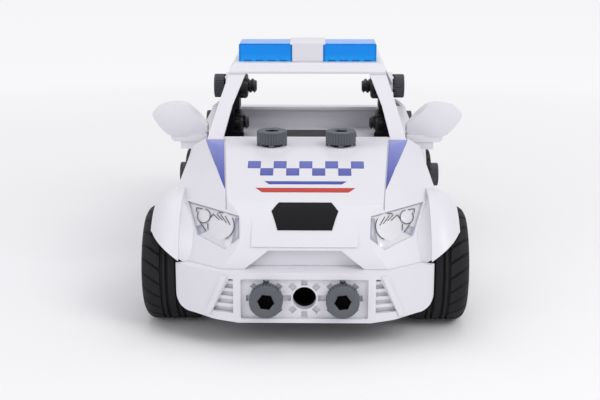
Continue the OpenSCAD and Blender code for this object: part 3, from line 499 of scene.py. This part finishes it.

# %% [markdown]
# The thread is a rod whose radius depends on the height less the share of a turn. Deep in the
# socket no light comes back, so a nearly black cup of painted shade just inside it is a piece of
# its own. A lug is a small block that closes to a point below and above.

# %% Painted socket shade, thread and lugs
SHADE_CUP_GAP, SHADE_CUP_TOP, SHADE_CUP_FLOOR = 0.04, 0.7, 4.2
SHANK_R, BOLT_L, LEAD_L, TIP_IN = 4.0, 18.0, 1.2, 0.5
THREAD_STEP, THREAD_DEEP, THREAD_TOP = 2.5, 0.85, 0.3
THREAD_ROWS, THREAD_STEPS = 80, 48
RIDGE_STEEP, RIDGE_LOW = 1.7, 0.25
LUGS, LUG_H, LUG_SUNK = 4, 1.1, 0.05
LUG_IN, LUG_OUT, LUG_HALF = 5.5, 6.5, 1.1


def socket_shade_cup():
    """A hexagonal cup of painted shade just inside the socket, from under its rim to just above its floor.
    """
    angle = angles(FLUTES * STEPS_A_FLUTE)
    radius = column([1, 1, 0]) * (SOCKET_R - SHADE_CUP_GAP) * hex_share(angle)
    return turned(radius, HEAD_H - column([SHADE_CUP_TOP, SHADE_CUP_FLOOR, SHADE_CUP_FLOOR]), angle)


def bolt_thread():
    """radius = core + depth x ridge(height / step - share of a turn), tapering in at the tip."""
    along = np.linspace(-0.5, -BOLT_L + 0.5, THREAD_ROWS)
    height = column([THREAD_TOP, THREAD_TOP, 0.0, *along, -BOLT_L, -BOLT_L])
    angle = angles(THREAD_STEPS)
    turns = height / THREAD_STEP - angle / (2 * np.pi)
    ridge = np.clip(RIDGE_STEEP * wave(turns) - RIDGE_LOW, 0, 1)
    lead = np.clip((height + BOLT_L) / LEAD_L, 0, 1)
    radius = (SHANK_R - THREAD_DEEP) + THREAD_DEEP * ridge * lead - TIP_IN * (1 - lead)
    radius[0], radius[-1] = 0, 0
    return turned(radius, height, angle)


def bolt_lug(angle):
    """Four corners about their middle, drawn in to the middle in the first and the last row."""
    corners = np.array([[LUG_IN, -LUG_HALF], [LUG_OUT, -LUG_HALF], [LUG_OUT, LUG_HALF], [LUG_IN, LUG_HALF]])
    middle = corners.mean(0)
    share = np.array([0, 1, 1, 0])[:, None, None]
    across, along = np.moveaxis(middle + (corners - middle) * share, -1, 0)
    height = np.broadcast_to(column([-LUG_H, -LUG_H, LUG_SUNK, LUG_SUNK]), across.shape)
    cos, sin = math.cos(angle), math.sin(angle)
    return np.stack([cos * across - sin * along, sin * across + cos * along, height], -1)


socket_shade_grid, thread_grid = socket_shade_cup(), bolt_thread()
lug_grids = [bolt_lug(2 * math.pi * number / LUGS) for number in range(LUGS)]
print("points of a thread", thread_grid.shape[:2])

# Each one was tightened to a turn of its own, so the hexagons don't stand alike. The bolts come in
# pairs, one on either side of the car.

# %% Stand the bolts
PITCH = 15.0
TURN_A_PAIR, TURN_A_SIDE, BOLT_SHARP = 11, 7, 32
bolt_seats = {"bumper_bolts": ((PITCH, HEAD_H, 21.3), (0, -1, 0)),
              "bonnet_bolts": ((PITCH, 71.0, 69.0 + LUG_H), (0, 0, 1)),
              "pillar_bolts": ((46.3 + LUG_H, 222.0, 71.6), (1, 0, 0)),
              "side_bolts": ((50.9 + LUG_H, 222.0, 50.9), (1, 0, 0)),
              "sill_bolts": ((58.6 + LUG_H, 104.0, 24.0), (1, 0, 0)),
              "rear_bumper_bolts": ((67.3 + LUG_H, 228.0, 19.5), (1, 0, 0))}


def stand(grid, seat, axis, turn=0.0):
    """Turns a grid drawn along +z so that it points along axis, and puts its origin at seat."""
    axis = np.array(axis, float)
    side = np.array([0, 0, 1.0]) if abs(axis[2]) < 0.5 else np.array([1.0, 0, 0])
    first = np.cross(side, axis)
    second = np.cross(axis, first)
    cos, sin = math.cos(turn), math.sin(turn)
    base = np.stack([cos * first + sin * second, cos * second - sin * first, axis])
    across, back, up = np.moveaxis(grid @ base + np.array(seat, float), -1, 0)
    return at(across, back, up)


for number, (name, (seat, axis)) in enumerate(bolt_seats.items()):
    heads, threads, socket_shades = [], [], []
    for hand in (1, -1):
        mirror = np.array([hand, 1, 1])
        place, way = mirror * seat, mirror * axis
        turn = math.radians(TURN_A_PAIR * number + TURN_A_SIDE * hand)
        heads.append(stand(head_grid, place, way, turn))
        heads += [stand(grid, place, way) for grid in lug_grids]
        threads.append(stand(thread_grid, place, way, turn))
        socket_shades.append(stand(socket_shade_grid, place, way, turn))
    # the heads at the sides and the back get the grey in painted shade
    finish = "bolt_grey" if name in ("bumper_bolts", "bonnet_bolts") else "bolt_grey_painted_shade"
    make_piece("fluted_" + name, heads, finish, BOLT_SHARP, stands_for=[name])
    # the threads are grey like their heads; the black on them is painted shade
    make_piece("threaded_" + name, threads, "nut_black_and_thread_shade", BOLT_SHARP)
    # a nearly black cup in each socket is painted shade
    make_piece("shaded_" + name, socket_shades, "socket_painted_shade", BOLT_SHARP)
print("bolt pairs", len(bolt_seats))

# %% [markdown]
# The nuts are round with six finger hollows, so that they can be held while the key turns.
# The hollows are dips of the radius; the hole is not cut through, because the thread fills it.

# %% Nuts
NUT_R, NUT_T, NUT_CORE, NUT_STEPS = 7.1, 4.5, 2.5, 144
HOLLOWS, HOLLOW_STEEP, HOLLOW_LOW = 6, 2.6, 1.6
HOLLOW_FROM, HOLLOW_FADE = 4.6, 1.6
nut_seats = {"bumper_nuts": ((PITCH, 12.5, 21.3), (0, -1, 0)),
             "bonnet_nuts": ((PITCH, 71.0, 62.0), (0, 0, 1)),
             "pillar_nuts": ((38.8, 222.0, 71.6), (1, 0, 0)),
             "side_nuts": ((41.8, 222.0, 50.9), (1, 0, 0)),
             "sill_nuts": ((50.1, 104.0, 24.0), (1, 0, 0)),
             "rear_bumper_nuts": ((61.5, 228.0, 19.5), (1, 0, 0))}


def nut():
    """radius(row) less a dip six times a turn, closed at both faces inside the thread."""
    rows = [(NUT_CORE, 0), (NUT_R - 0.3, 0), (NUT_R, -0.3), (NUT_R, -1.8), (NUT_R, -NUT_T + 1.2),
            (NUT_R - 0.4, -NUT_T + 0.5), (NUT_R - 1.2, -NUT_T), (4.4, -NUT_T), (4.0, -NUT_T + 0.4),
            (NUT_CORE, -NUT_T + 0.5), (NUT_CORE, 0)]
    radius, height = (column(values) for values in zip(*rows))
    angle = angles(NUT_STEPS)
    hollow = np.clip(HOLLOW_STEEP * wave(angle * HOLLOWS / (2 * np.pi)) - HOLLOW_LOW, 0, 1)
    dip = hollow * np.clip((radius - HOLLOW_FROM) / HOLLOW_FADE, 0, 1)
    return turned(radius - dip, height, angle)


nut_grid = nut()
for name, (seat, axis) in nut_seats.items():
    mirrors = [np.array([hand, 1, 1]) for hand in (1, -1)]
    grids = [stand(nut_grid, mirror * seat, mirror * axis) for mirror in mirrors]
    make_piece("hollowed_" + name, grids, "nut_black_and_thread_shade", BOLT_SHARP, stands_for=[name])
print("nut pairs", len(nut_seats))

# %% [markdown]
# ## Tyres
# A plain middle rib, two pairs of grooves that run round, and slanting grooves over both
# shoulders. The grooves could be cut one by one, but that breaks the mesh up. Here the tyre is a
# closed profile turned about the axle, and the tread is the same grid with its radius lowered
# by a depth that depends on the place across and on the angle.

# %% The section of a tyre
TYRE_R, TYRE_HALF, SHOULDER = 24.0, 12.5, 4.4
TREAD_ROWS, SHOULDER_ROWS = 66, 9
BEND_FROM, BEND_TO = 6, 70
# side wall with its ring, then the bead: distance across and radius
WALL = np.array([(12.5, 20.6), (12.45, 20.1), (12.1, 19.9), (12.1, 19.6), (12.5, 19.4), (12.5, 19.0),
                 (12.2, 18.5), (11.6, 18.2), (11.0, 18.2), (9.4, 18.1), (9.2, 17.0)])


def tyre_profile():
    """Distance across and radius, round the section: tread, shoulder, side wall, bead and back."""
    tread = np.linspace(-TYRE_HALF + SHOULDER, TYRE_HALF - SHOULDER, TREAD_ROWS)
    tread = np.stack([tread, np.full(TREAD_ROWS, TYRE_R)], -1)
    bend = np.radians(np.linspace(BEND_FROM, BEND_TO, SHOULDER_ROWS))
    bent = np.stack([np.sin(bend), np.cos(bend)], -1)
    shoulder = np.array([TYRE_HALF, TYRE_R]) - SHOULDER + SHOULDER * bent
    half = np.concatenate([shoulder, WALL])
    profile = np.concatenate([tread, half, half[::-1] * [-1, 1], tread[:1]])
    return profile[:, :1], profile[:, 1:]


print("rows round a tyre", len(tyre_profile()[0]))

# %% Cut the tread and put the tyres on
RING_GROOVES, RING_WIDE, RING_DEEP, RING_WALL = (2.0, 4.3), 0.6, 1.0, 0.22
SLANTS, SLANT_RATE, STEPS_A_SLANT = 24, 0.11, 20
SLANT_WIDE, SLANT_DEEP, SLANT_WALL = 0.55, 0.75, 0.25
SLANT_END, SLANT_FADE, TREAD_EDGE = 20.7, 0.8, 23.9
AXLE_UP, TYRE_SHARP = 24.0, 30
wheels = {"front_left": (54.3, 45.0, "front_left_wheel"),
          "front_right": (-54.3, 45.0, "front_right_wheel"),
          "rear_left": (51.0, 173.0, "rear_axle_set"),
          "rear_right": (-51.0, 173.0, "rear_axle_set")}


def groove(distance, width, wall):
    """1 inside a groove of that width, 0 outside, with slanting walls."""
    return np.clip((0.5 * width + wall - np.abs(distance)) / wall, 0, 1)


def tyre():
    """Radius less the grooves; slanting ones sit at equal shares of a turn, shifted across."""
    across, radius = tyre_profile()
    angle = angles(SLANTS * STEPS_A_SLANT)
    off = np.abs(across)
    rings = np.max([groove(off - ring, RING_WIDE, RING_WALL) for ring in RING_GROOVES], axis=0)
    past_rings = off - RING_GROOVES[-1]
    share = angle * SLANTS / (2 * np.pi) + SLANT_RATE * past_rings + 0.5 * (across > 0)
    apart = 2 * np.pi * TYRE_R / SLANTS
    slant = groove((np.mod(share, 1) - 0.5) * apart, SLANT_WIDE, SLANT_WALL)
    slant = slant * (past_rings > 0) * np.clip((radius - SLANT_END) / SLANT_FADE, 0, 1)
    depth = np.maximum(RING_DEEP * rings * (radius > TREAD_EDGE), SLANT_DEEP * slant)
    return turned(radius - depth, across, angle)


tyre_grid = tyre()
for name, (across, back, body) in wheels.items():
    grid = stand(tyre_grid, (across, back, AXLE_UP), (1, 0, 0))
    make_piece("treaded_" + name + "_tyre", [grid], "tyre_black", TYRE_SHARP, body,
               [name + "_tyre"])
print("tyres", len(wheels))

# %% [markdown]
# ## Stickers on the bonnet
# The colours on the bonnet are printed film. A sticker follows the moulding under it, so the
# bonnet's own form is written once more as a height: the lowest of the nose arc, the slope, the
# level shelf and the two shoulder planes, and on the nose a panel that stands out a little.
# Each sticker is a small grid laid on that height. The colours could be painted in the bonnet's
# own finish, but film as a piece of its own has the thin edge that catches the light.

# %% The height of the bonnet
SLOPE, SLOPE_BACK, SLOPE_UP = math.radians(17.8), 42, 60.4
FACE, FACE_BACK, FACE_UP = math.radians(168.7), 10, 39.8
NOSE_R, TURN_LIMIT = 28.0, 0.999
SHELF, KNEE_R, KNEE_LATE = 69.0, 33.5, 5
PANEL_HALF, PANEL_OUT, PANEL_LOW, PANEL_SWEEP = 21.0, 0.7, math.radians(156), math.radians(28.8)
# each shoulder plane: its normal and a point on it
SHOULDERS = [((0.497, -0.262, 0.827), (44.9, 82.5, 69)), ((0.364, -0.385, 0.848), (33.2, 35.2, 58.2))]
slope_way = np.array([-math.sin(SLOPE), math.cos(SLOPE)])
face_way = np.array([math.cos(FACE), math.sin(FACE)])
reach = [slope_way @ [SLOPE_BACK, SLOPE_UP] - NOSE_R, face_way @ [FACE_BACK, FACE_UP] - NOSE_R]
nose_centre = np.linalg.solve(np.stack([slope_way, face_way]), reach)
knee_back = SLOPE_BACK + (SHELF - SLOPE_UP) / math.tan(SLOPE) + KNEE_LATE


def bonnet_top(across, back):
    """Height: the nose arc to its tangent, the slope, the arc into the shelf, all under the shoulders."""
    across = np.abs(across)
    slope = SLOPE_UP + (back - SLOPE_BACK) * math.tan(SLOPE)
    turn = np.arccos(np.clip((back - nose_centre[0]) / NOSE_R, -TURN_LIMIT, TURN_LIMIT))
    proud = PANEL_OUT * np.clip(1 - (PANEL_LOW - turn) / PANEL_SWEEP, 0, 1) * (across < PANEL_HALF)
    nose = nose_centre[1] + (NOSE_R + proud / np.sin(turn) ** 2) * np.sin(turn)
    short = np.clip(knee_back - back, 0, None)
    shelf = SHELF - KNEE_R + np.sqrt(np.clip(KNEE_R**2 - short**2, 0, None))
    height = np.where(back < nose_centre[0] + NOSE_R * slope_way[0], nose, slope)
    height = np.where(back > knee_back - KNEE_R * math.sin(SLOPE), shelf, height)
    for way, point in SHOULDERS:
        plane = point[2] - (way[0] * (across - point[0]) + way[1] * (back - point[1])) / way[2]
        height = np.minimum(height, plane)
    return height


print("bonnet height at the badge", round(float(bonnet_top(np.array(0.0), np.array(20.0))), 1))

# %% [markdown]
# The prints are a blue that lightens towards the screen, a red and a black, all on the same
# satin film. The ink runs from its dark to its light tone along the car, and a fine screen of
# dots breaks it up, as in print.

# %% Inks
DOT_LUMPS, DOT_SHARE, RAMP_SHARE = 5200, 0.16, 0.86
FILM_LUMPS, FILM_SPREAD = 180, 0.1


def print_finish(name, light, dark, near, far, rough=0.34, gloss=0.2):
    """Ink from dark at near to light at far, in millimetres behind the nose, with a screen of dots."""
    main, place = shader(name, {"Specular IOR Level": gloss})
    along = climb(coordinate(place, BACK), (near - NOSE) * MM, (far - NOSE) * MM)
    dots = drift(place, DOT_LUMPS, 0.0)
    share = place.reckon("MINIMUM", along * RAMP_SHARE + dots * DOT_SHARE, 1.0)
    wire(main, tone(share, dark, light), drift(place, FILM_LUMPS) * FILM_SPREAD + rough,
         grain(place, "film"))


print_finish("print_blue", (0.27, 0.30, 0.66), (0.022, 0.036, 0.29), 36, 80)
print_finish("print_red", (0.54, 0.055, 0.035), (0.48, 0.04, 0.03), 20, 60)
print_finish("print_black", (0.010, 0.009, 0.012), (0.007, 0.0065, 0.008), 10, 30, 0.5, 0.1)
print("inks", [name for name in finishes if name.startswith("print_")])

# %% [markdown]
# A sticker that is drawn by its corners is a patch: straight lines between two edges, the edges
# themselves straight between corners. The film has a thickness, built up outwards from a hair
# above the moulding.

# %% Film
FILM, FILM_LIFT, WHITE_SLOT = 0.1, 0.02, "white_plastic"
stickers = []


def patch(corners, rows, columns):
    """Corners (across, back), near left, near right, far right, far left, laid on the bonnet."""
    near_left, near_right, far_right, far_left = np.array(corners, float)
    along = np.linspace(0, 1, rows)[:, None, None]
    over = np.linspace(0, 1, columns)[None, :, None]
    near = near_left * (1 - over) + near_right * over
    far = far_left * (1 - over) + far_right * over
    across, back = np.moveaxis(near * (1 - along) + far * along, -1, 0)
    return at(across, back, bonnet_top(across, back) + FILM_LIFT)


def sticker(name, grids, finish, thick=FILM):
    """Film of that thickness, built up outwards from the surface that the grids lie on."""
    piece = make_piece(name, grids, finish, around=False)
    film = piece.modifiers.new("film", "SOLIDIFY")
    film.thickness, film.offset = thick * MM, 1.0
    stickers.append(name)


print("film", FILM, "mm thick")

# %% The blue wedges
SEAM_NEAR, SEAM_FAR, SEAM_CLEAR = (24.2, 31.4), (85.0, 36.6), 0.6
WEDGE_NEAR, WEDGE_FAR, WEDGE_LEAST = 35.3, 82.8, 0.1
WEDGE_ROWS, WEDGE_COLUMNS = 60, 14
# outer edge of a wedge: back from the nose, and off the middle
WEDGE_OUTER = [(35.3, 33.1), (42.6, 35.3), (48.3, 36.9), (54.9, 38.6), (62.9, 40.5), (71.0, 42.35),
               (76.6, 43.65), (82.8, 45.0)]


def wedge(hand):
    """The strip between the seam and the outer edge, both straight between places."""
    back = column(np.linspace(WEDGE_NEAR, WEDGE_FAR, WEDGE_ROWS))
    rate = (SEAM_FAR[1] - SEAM_NEAR[1]) / (SEAM_FAR[0] - SEAM_NEAR[0])
    inner = SEAM_NEAR[1] + (back - SEAM_NEAR[0]) * rate + SEAM_CLEAR
    outer = np.interp(back, *zip(*WEDGE_OUTER))
    over = np.linspace(0, 1, WEDGE_COLUMNS)[None, :]
    across = inner + np.clip(outer - inner, WEDGE_LEAST, None) * over
    return at(hand * across, back, bonnet_top(across, back) + FILM_LIFT)


for hand, side in ((1, "left"), (-1, "right")):
    sticker("blue_wedge_" + side, [wedge(hand)], "print_blue")
print("stickers", stickers)

# %% [markdown]
# Between the wedges lie a row of checks, two straight lines and, on the nose, a black hexagon of
# thicker film.

# %% Checks, lines and hexagon
CHECKS, CHECK_ROWS = 9, 8
CHECK_WIDE, CHECK_NEAR, CHECK_FAR = 5.45, 45.2, 56.4
LINE_COLUMNS, HEXAGON_COLUMNS, HEXAGON_FILM = 40, 30, 0.25


def band(near, far, half_near, half_far, rows, columns):
    """A patch as wide to the left as to the right, between two distances from the nose."""
    return patch([(-half_near, near), (half_near, near), (half_far, far), (-half_far, far)], rows, columns)


check_middle = (CHECK_NEAR + CHECK_FAR) / 2
squares = []
for number in range(CHECKS):
    left = (number - CHECKS / 2) * CHECK_WIDE
    right = left + CHECK_WIDE
    near, far = (CHECK_NEAR, check_middle) if number % 2 else (check_middle, CHECK_FAR)
    squares.append(patch([(left, near), (right, near), (right, far), (left, far)], CHECK_ROWS, CHECK_ROWS))
sticker("blue_checks", squares, "print_blue")
sticker("blue_line", [band(38.6, 40.8, 15, 17, 6, LINE_COLUMNS)], "print_blue")
sticker("red_line", [band(32.6, 35.8, 17.6, 20.4, 8, LINE_COLUMNS)], "print_red")
hexagon = [band(14.0, 20.9, 10.8, 13.3, 20, HEXAGON_COLUMNS),
           band(20.9, 25.3, 13.3, 10.5, 12, HEXAGON_COLUMNS)]
sticker("hexagon_plate", hexagon, "print_black", HEXAGON_FILM)
print("stickers", stickers)

# %% [markdown]
# ## Headlamps
# A lamp is a pale print in a shallow five-sided bed: a large and a small reflector, bluish
# corners, and thin dark lines along parts of circles. The plate is a fan from its middle to its
# outline, the reflectors are shallow domes, and the lines are ribbons along rows of places. All
# of it is drawn as the camera sees it, outwards and upwards from the large reflector, and slid
# along the line of sight into the plane of the bed. Small pieces stay sharp from near, which a
# pattern in one finish would not.

# %% The lamp plane
LAMP_POINT = np.array([48.5, 37.0, 52.5])
BIG_PLACE, PLATE_DEEP = (33.8, 46.6), 0.55
lamp_way = np.array([0.5035, -0.667, 0.549])
lamp_way = lamp_way / np.linalg.norm(lamp_way)
tilt = math.radians(LOOK_DOWN)
sight = np.array([0, math.cos(tilt), -math.sin(tilt)])
rise = np.array([0, math.sin(tilt), math.cos(tilt)])


def on_lamp(across, up):
    """Points of the lamp plate seen from the front at (across, up)."""
    share = lamp_way[0] * (across - LAMP_POINT[0]) + lamp_way[2] * (up - LAMP_POINT[2])
    back = LAMP_POINT[1] - share / lamp_way[1]
    across, back, up = np.broadcast_arrays(across, back, up)
    return np.stack([across, back, up], -1) - lamp_way * PLATE_DEEP


def lamp_at(out, up, lift):
    """Middle + out x + up rise, slid along the sight until (point - middle) . normal = 0, then lifted."""
    out, up, lift = (values[..., None] for values in np.broadcast_arrays(out, up, lift))
    drawn = out * np.array([1.0, 0, 0]) + up * rise
    slide = -(drawn @ lamp_way) / (sight @ lamp_way)
    return lamp_middle + drawn + slide[..., None] * sight + lift * lamp_way


lamp_middle = on_lamp(*np.array(BIG_PLACE))
print("middle of a lamp", lamp_middle.round(1))

# %% Plate, domes and lines
LAMP_OUTLINE = np.array([[48.5, 52.5], [26.2, 51.1], [25.7, 43.5], [31.6, 38.8], [43.6, 41.5]])
PLATE_SHRINK, PLATE_STEPS, PLATE_ROWS = 0.985, 60, 9
DOME_HIGH, DOME_LIFT, DOME_ROWS, DOME_STEPS = 0.3, 0.08, 9, 72
LINE_WIDE, LINE_LIFT, SHADE_LIFT, BOW_STEPS = 0.3, 0.42, 0.06, 40


def lamp_plate():
    """Fan of rays from the middle (share 0) to the outline (share 1), drawn in by a hair."""
    count = len(LAMP_OUTLINE)
    steps = np.linspace(0, count, PLATE_STEPS, endpoint=False)
    number, part = steps.astype(int), (steps % 1)[:, None]
    line = LAMP_OUTLINE[number] * (1 - part) + LAMP_OUTLINE[(number + 1) % count] * part
    centre = LAMP_OUTLINE.mean(0)
    share = PLATE_SHRINK * np.linspace(0, 1, PLATE_ROWS)[:, None, None]
    return on_lamp(*np.moveaxis(centre + (line - centre) * share, -1, 0))


def dome(out, up, wide):
    """lift = high (1 - share^2) over a disc, with a small upright rim."""
    share = column([*np.linspace(0, 1, DOME_ROWS), 1.0])
    lift = DOME_LIFT + DOME_HIGH * (1 - share**2)
    lift[-1] = 0
    angle = angles(DOME_STEPS)
    return lamp_at(out + wide * share * np.cos(angle), up + wide * share * np.sin(angle), lift)


def stroke(places):
    """A ribbon along a row of places: each place plus and minus half the width across the way."""
    way = np.gradient(places, axis=0)
    side = np.stack([-way[:, 1], way[:, 0]], -1) / np.linalg.norm(way, axis=1)[:, None]
    rows = places + 0.5 * LINE_WIDE * np.array([-1, 1])[:, None, None] * side
    return lamp_at(rows[..., 0], rows[..., 1], LINE_LIFT)


def bow(out, up, wide, start, end):
    """Places along part of a circle, from start to end in degrees."""
    angle = np.radians(np.linspace(start, end, BOW_STEPS))
    return np.stack([out + wide * np.cos(angle), up + wide * np.sin(angle)], -1)


def shade(corners):
    """A flat piece with four corners, as a grid of two rows."""
    grid = np.array(corners, float)[[0, 1, 3, 2]].reshape(2, 2, 2)
    return lamp_at(grid[..., 0], grid[..., 1], SHADE_LIFT)


def to_frame(grid, hand):
    """Points of the left lamp in the frame, mirrored to the right one where hand is -1."""
    across, back, up = np.moveaxis(grid, -1, 0)
    return at(hand * across, back, up)


plate_grid = lamp_plate()
print("points of a plate", plate_grid.shape[:2])

# %% [markdown]
# The print has soft streaks in it, like brushed foil under clear ink. Four tones are enough: the
# plate, its bright reflectors, the bluish corners and the dark lines.

# %% Tones of the lamps
STREAK_TURN, STREAK_SCALE = (0.2, 0.5, 0.4), (60, 420, 140)
STREAK_DETAIL, STREAK_ROUGH = 3.0, 0.2


def lamp_print(name, light, dark, rough):
    """Pale print: tones run in soft streaks, with a slight metallic sheen."""
    main, place = shader(name, {"Metallic": 0.1, "Coat Weight": 0.2, "Coat Roughness": 0.15})
    stretched = place.node("Mapping", {}, {0: place, "Rotation": STREAK_TURN, "Scale": STREAK_SCALE})
    streak = drift(stretched, 1.0, STREAK_DETAIL)
    wire(main, tone(streak, dark, light), streak * STREAK_ROUGH + rough, grain(place, "foil"))


lamp_print("lamp_pale", (0.69, 0.69, 0.73), (0.60, 0.60, 0.65), 0.24)
lamp_print("lamp_bright", (0.73, 0.72, 0.75), (0.66, 0.655, 0.69), 0.2)
lamp_print("lamp_shade", (0.47, 0.475, 0.56), (0.42, 0.43, 0.51), 0.24)
lamp_print("lamp_lines", (0.05, 0.05, 0.06), (0.03, 0.03, 0.04), 0.4)
print("lamp tones", [name for name in finishes if name.startswith("lamp_")])

# %% [markdown]
# The lines follow the two reflectors only in part, as a drawing of glass does: four slanting
# strokes stand for the gloss. All places below are millimetres outwards and upwards from the
# middle of the large reflector.

# %% Put the lamps in
BIG_R, SMALL_OUT, SMALL_UP, SMALL_R = 5.5, 7.5, 3.7, 2.7
RING_GAP, PLATE_THICK, LAMP_FILM = 0.1, 0.15, 0.05
STROKE_STEPS, DOME_SHARP = 8, 25
domes = [dome(0, 0, BIG_R), dome(SMALL_OUT, SMALL_UP, SMALL_R), dome(-2.5, -7.0, 1.5)]
shades = [shade([(-5.8, 3.3), (-7.4, 3.1), (-7.5, -1.4), (-5.5, -1.4)]),
          shade([(-5.5, -1.4), (-7.5, -1.4), (-7.6, -4.7), (-4.6, -7.0)]),
          shade([(10.7, -0.3), (8.3, 0.3), (6.2, -2.4), (9.2, -3.8)])]
lines = [bow(0, 0, BIG_R + RING_GAP, start, end) for start, end in ((147, 248), (30, 52), (-18, 8))]
lines += [bow(SMALL_OUT, SMALL_UP, SMALL_R + RING_GAP, 100, 395), bow(0, 0, BIG_R - 0.4, 72, 100)]
strokes = [((3.6, 4.6), (0.7, 2.2)), ((1.9, 4.6), (-0.7, 2.0)), ((0.2, 4.3), (-2.4, 1.0)),
           ((-1.7, 3.8), (-3.9, 0.3)), ((10.7, 5.2), (10.9, 7.0)), ((10.9, 7.0), (8.2, 6.6)),
           ((9.3, 1.6), (6.1, -2.4))]
lines += [np.linspace(start, end, STROKE_STEPS) for start, end in strokes]
ribbons = [stroke(row) for row in lines]
for hand, side in ((1, "left"), (-1, "right")):
    plate = make_piece("lamp_plate_" + side, [to_frame(plate_grid, hand)], "lamp_pale")
    film = plate.modifiers.new("film", "SOLIDIFY")
    film.thickness, film.offset = PLATE_THICK * MM, -1.0
    make_piece("lamp_domes_" + side, [to_frame(grid, hand) for grid in domes], "lamp_bright",
               DOME_SHARP)
    sticker("lamp_shades_" + side, [to_frame(grid, hand) for grid in shades], "lamp_shade", LAMP_FILM)
    sticker("lamp_lines_" + side, [to_frame(grid, hand) for grid in ribbons], "lamp_lines", LAMP_FILM)
print("pieces of a lamp: plate,", len(domes), "domes,", len(shades), "shades and", len(lines), "lines")

# %% [markdown]
# ## Backs of the bumper vents
# Behind the fins of each vent the moulding is closed. A thin sheet a little behind the bumper's
# skin, which is straight between a few places, closes the view.

# %% Close the vents
VENT_LOW, VENT_HIGH, VENT_IN, VENT_OUT = 13.6, 31.0, 27.2, 39.0
VENT_DEEP, VENT_THICK = 3.4, 0.8
VENT_ROWS, VENT_COLUMNS = 8, 6
SKIN_ACROSS, SKIN_BACK = [26.5, 34.0, 44.0], [4.0, 6.2, 11.0]
for hand, side in ((1, "left"), (-1, "right")):
    across = column(np.linspace(VENT_IN, VENT_OUT, VENT_ROWS))
    back = np.interp(across, SKIN_ACROSS, SKIN_BACK) + VENT_DEEP
    up = np.linspace(VENT_LOW, VENT_HIGH, VENT_COLUMNS)[None, :]
    sheet = at(hand * across, back, up)
    sticker("vent_back_" + side, [sheet], "white_moulding", VENT_THICK)
print("vent backs", stickers[-2:])

# %% [markdown]
# ## Floor and light
# The photo is a bright studio shot: a pale floor that runs out of the picture, soft light from
# above and from the right, and a dark shadow close under the car. Away from the car the floor
# adds white of its own, but only where the camera, a gloss or clear plastic looks at it, so the
# car is not lit by it. The sky does the same: it lights softly and shows as pale.

# %% Lay the floor
FLOOR_REACH, FLOOR_ROUGH = 20.0, 0.9
WHITE_FROM, WHITE_FULL, WHITE_MOST = 0.2, 0.62, 0.85
FLOOR_TONE, FLOOR_WHITE = (0.92, 0.915, 0.925, 1), (0.97, 0.965, 0.98, 1)
floor_mesh = bpy.data.meshes.new("floor")
floor_corners = FLOOR_REACH * np.array([[-1, -1, 0], [1, -1, 0], [1, 1, 0], [-1, 1, 0]])
floor_mesh.from_pydata(floor_corners.tolist(), [], [(0, 1, 2, 3)])
floor = bpy.data.objects.new("floor", floor_mesh)
bpy.context.scene.collection.objects.link(floor)


def seen_directly(flow):
    """1 for rays that show the background: from the camera, a gloss or through clear plastic."""
    path = flow.tree.nodes.new("ShaderNodeLightPath")
    kinds = ("Is Camera Ray", "Is Glossy Ray", "Is Transmission Ray")
    return largest(*[Flow(flow.tree, path.outputs[kind]) for kind in kinds])


floor_main, floor_place = shader("floor_pale", {"Base Color": FLOOR_TONE, "Roughness": FLOOR_ROUGH})
floor_plain = Flow(floor_place.tree, floor_main.outputs[0])
glow = floor_place.node("Emission", {}, {"Color": FLOOR_WHITE, "Strength": 1.0})
away = floor_place.node("VectorMath", {"operation": "LENGTH"}, {0: floor_place}, 1)
white_share = seen_directly(floor_place) * climb(away, WHITE_FROM, WHITE_FULL, 0.0, WHITE_MOST)
floor_shown = glow.node("MixShader", {}, {0: white_share, 1: floor_plain, 2: glow})
floor_out = floor_place.tree.nodes["Material Output"]
floor_place.tree.links.new(floor_shown.socket, floor_out.inputs["Surface"])
floor_mesh.materials.append(finishes["floor_pale"])
print("floor reaches", FLOOR_REACH, "m to each side")

# %% Set the sky
SKY_TONE, SKY_STRENGTH, BACKDROP_TONE = (0.97, 0.97, 1.0, 1), 0.62, (0.94, 0.94, 0.95, 1)
world = bpy.data.worlds.new("studio")
bpy.context.scene.world = world
world.use_nodes = True
sky_tree = world.node_tree
sky_light = sky_tree.nodes["Background"]
sky_light.inputs["Color"].default_value = SKY_TONE
sky_light.inputs["Strength"].default_value = SKY_STRENGTH
sky = Flow(sky_tree, sky_light.outputs[0])
backdrop = sky.node("Background", {}, {"Color": BACKDROP_TONE, "Strength": 1.0})
sky_shown = sky.node("MixShader", {}, {0: seen_directly(sky), 1: sky, 2: backdrop})
sky_tree.links.new(sky_shown.socket, sky_tree.nodes["World Output"].inputs["Surface"])
print("sky strength", SKY_STRENGTH)

# %% [markdown]
# Three large soft lamps finish the light: a warm one from the right of the picture, a weaker cool
# one from its left, and one from above. Large lamps give the broad, soft shadow of a studio.

# %% Set the lamps
LIGHT_AIM = Vector((0, -0.03, 0.04))


def soft_light(name, watts, wide, place, colour=(1, 1, 1)):
    """A soft square lamp at a place in metres, turned towards LIGHT_AIM."""
    data = bpy.data.lights.new(name, "AREA")
    data.energy, data.size, data.color = watts, wide, colour
    made = bpy.data.objects.new(name, data)
    bpy.context.scene.collection.objects.link(made)
    made.location = place
    made.rotation_mode = "QUATERNION"
    made.rotation_quaternion = (made.location - LIGHT_AIM).to_track_quat("Z", "Y")


soft_light("key_right", 6.6, 0.7, (0.75, -0.75, 0.95), (1.0, 0.985, 0.97))
soft_light("fill_left", 3.0, 0.9, (-0.75, -0.95, 0.5), (0.95, 0.96, 1.0))
soft_light("top_soft", 2.1, 0.9, (0.0, 0.25, 1.1))
bpy.context.scene.view_settings.view_transform = "Standard"

# %% [markdown]
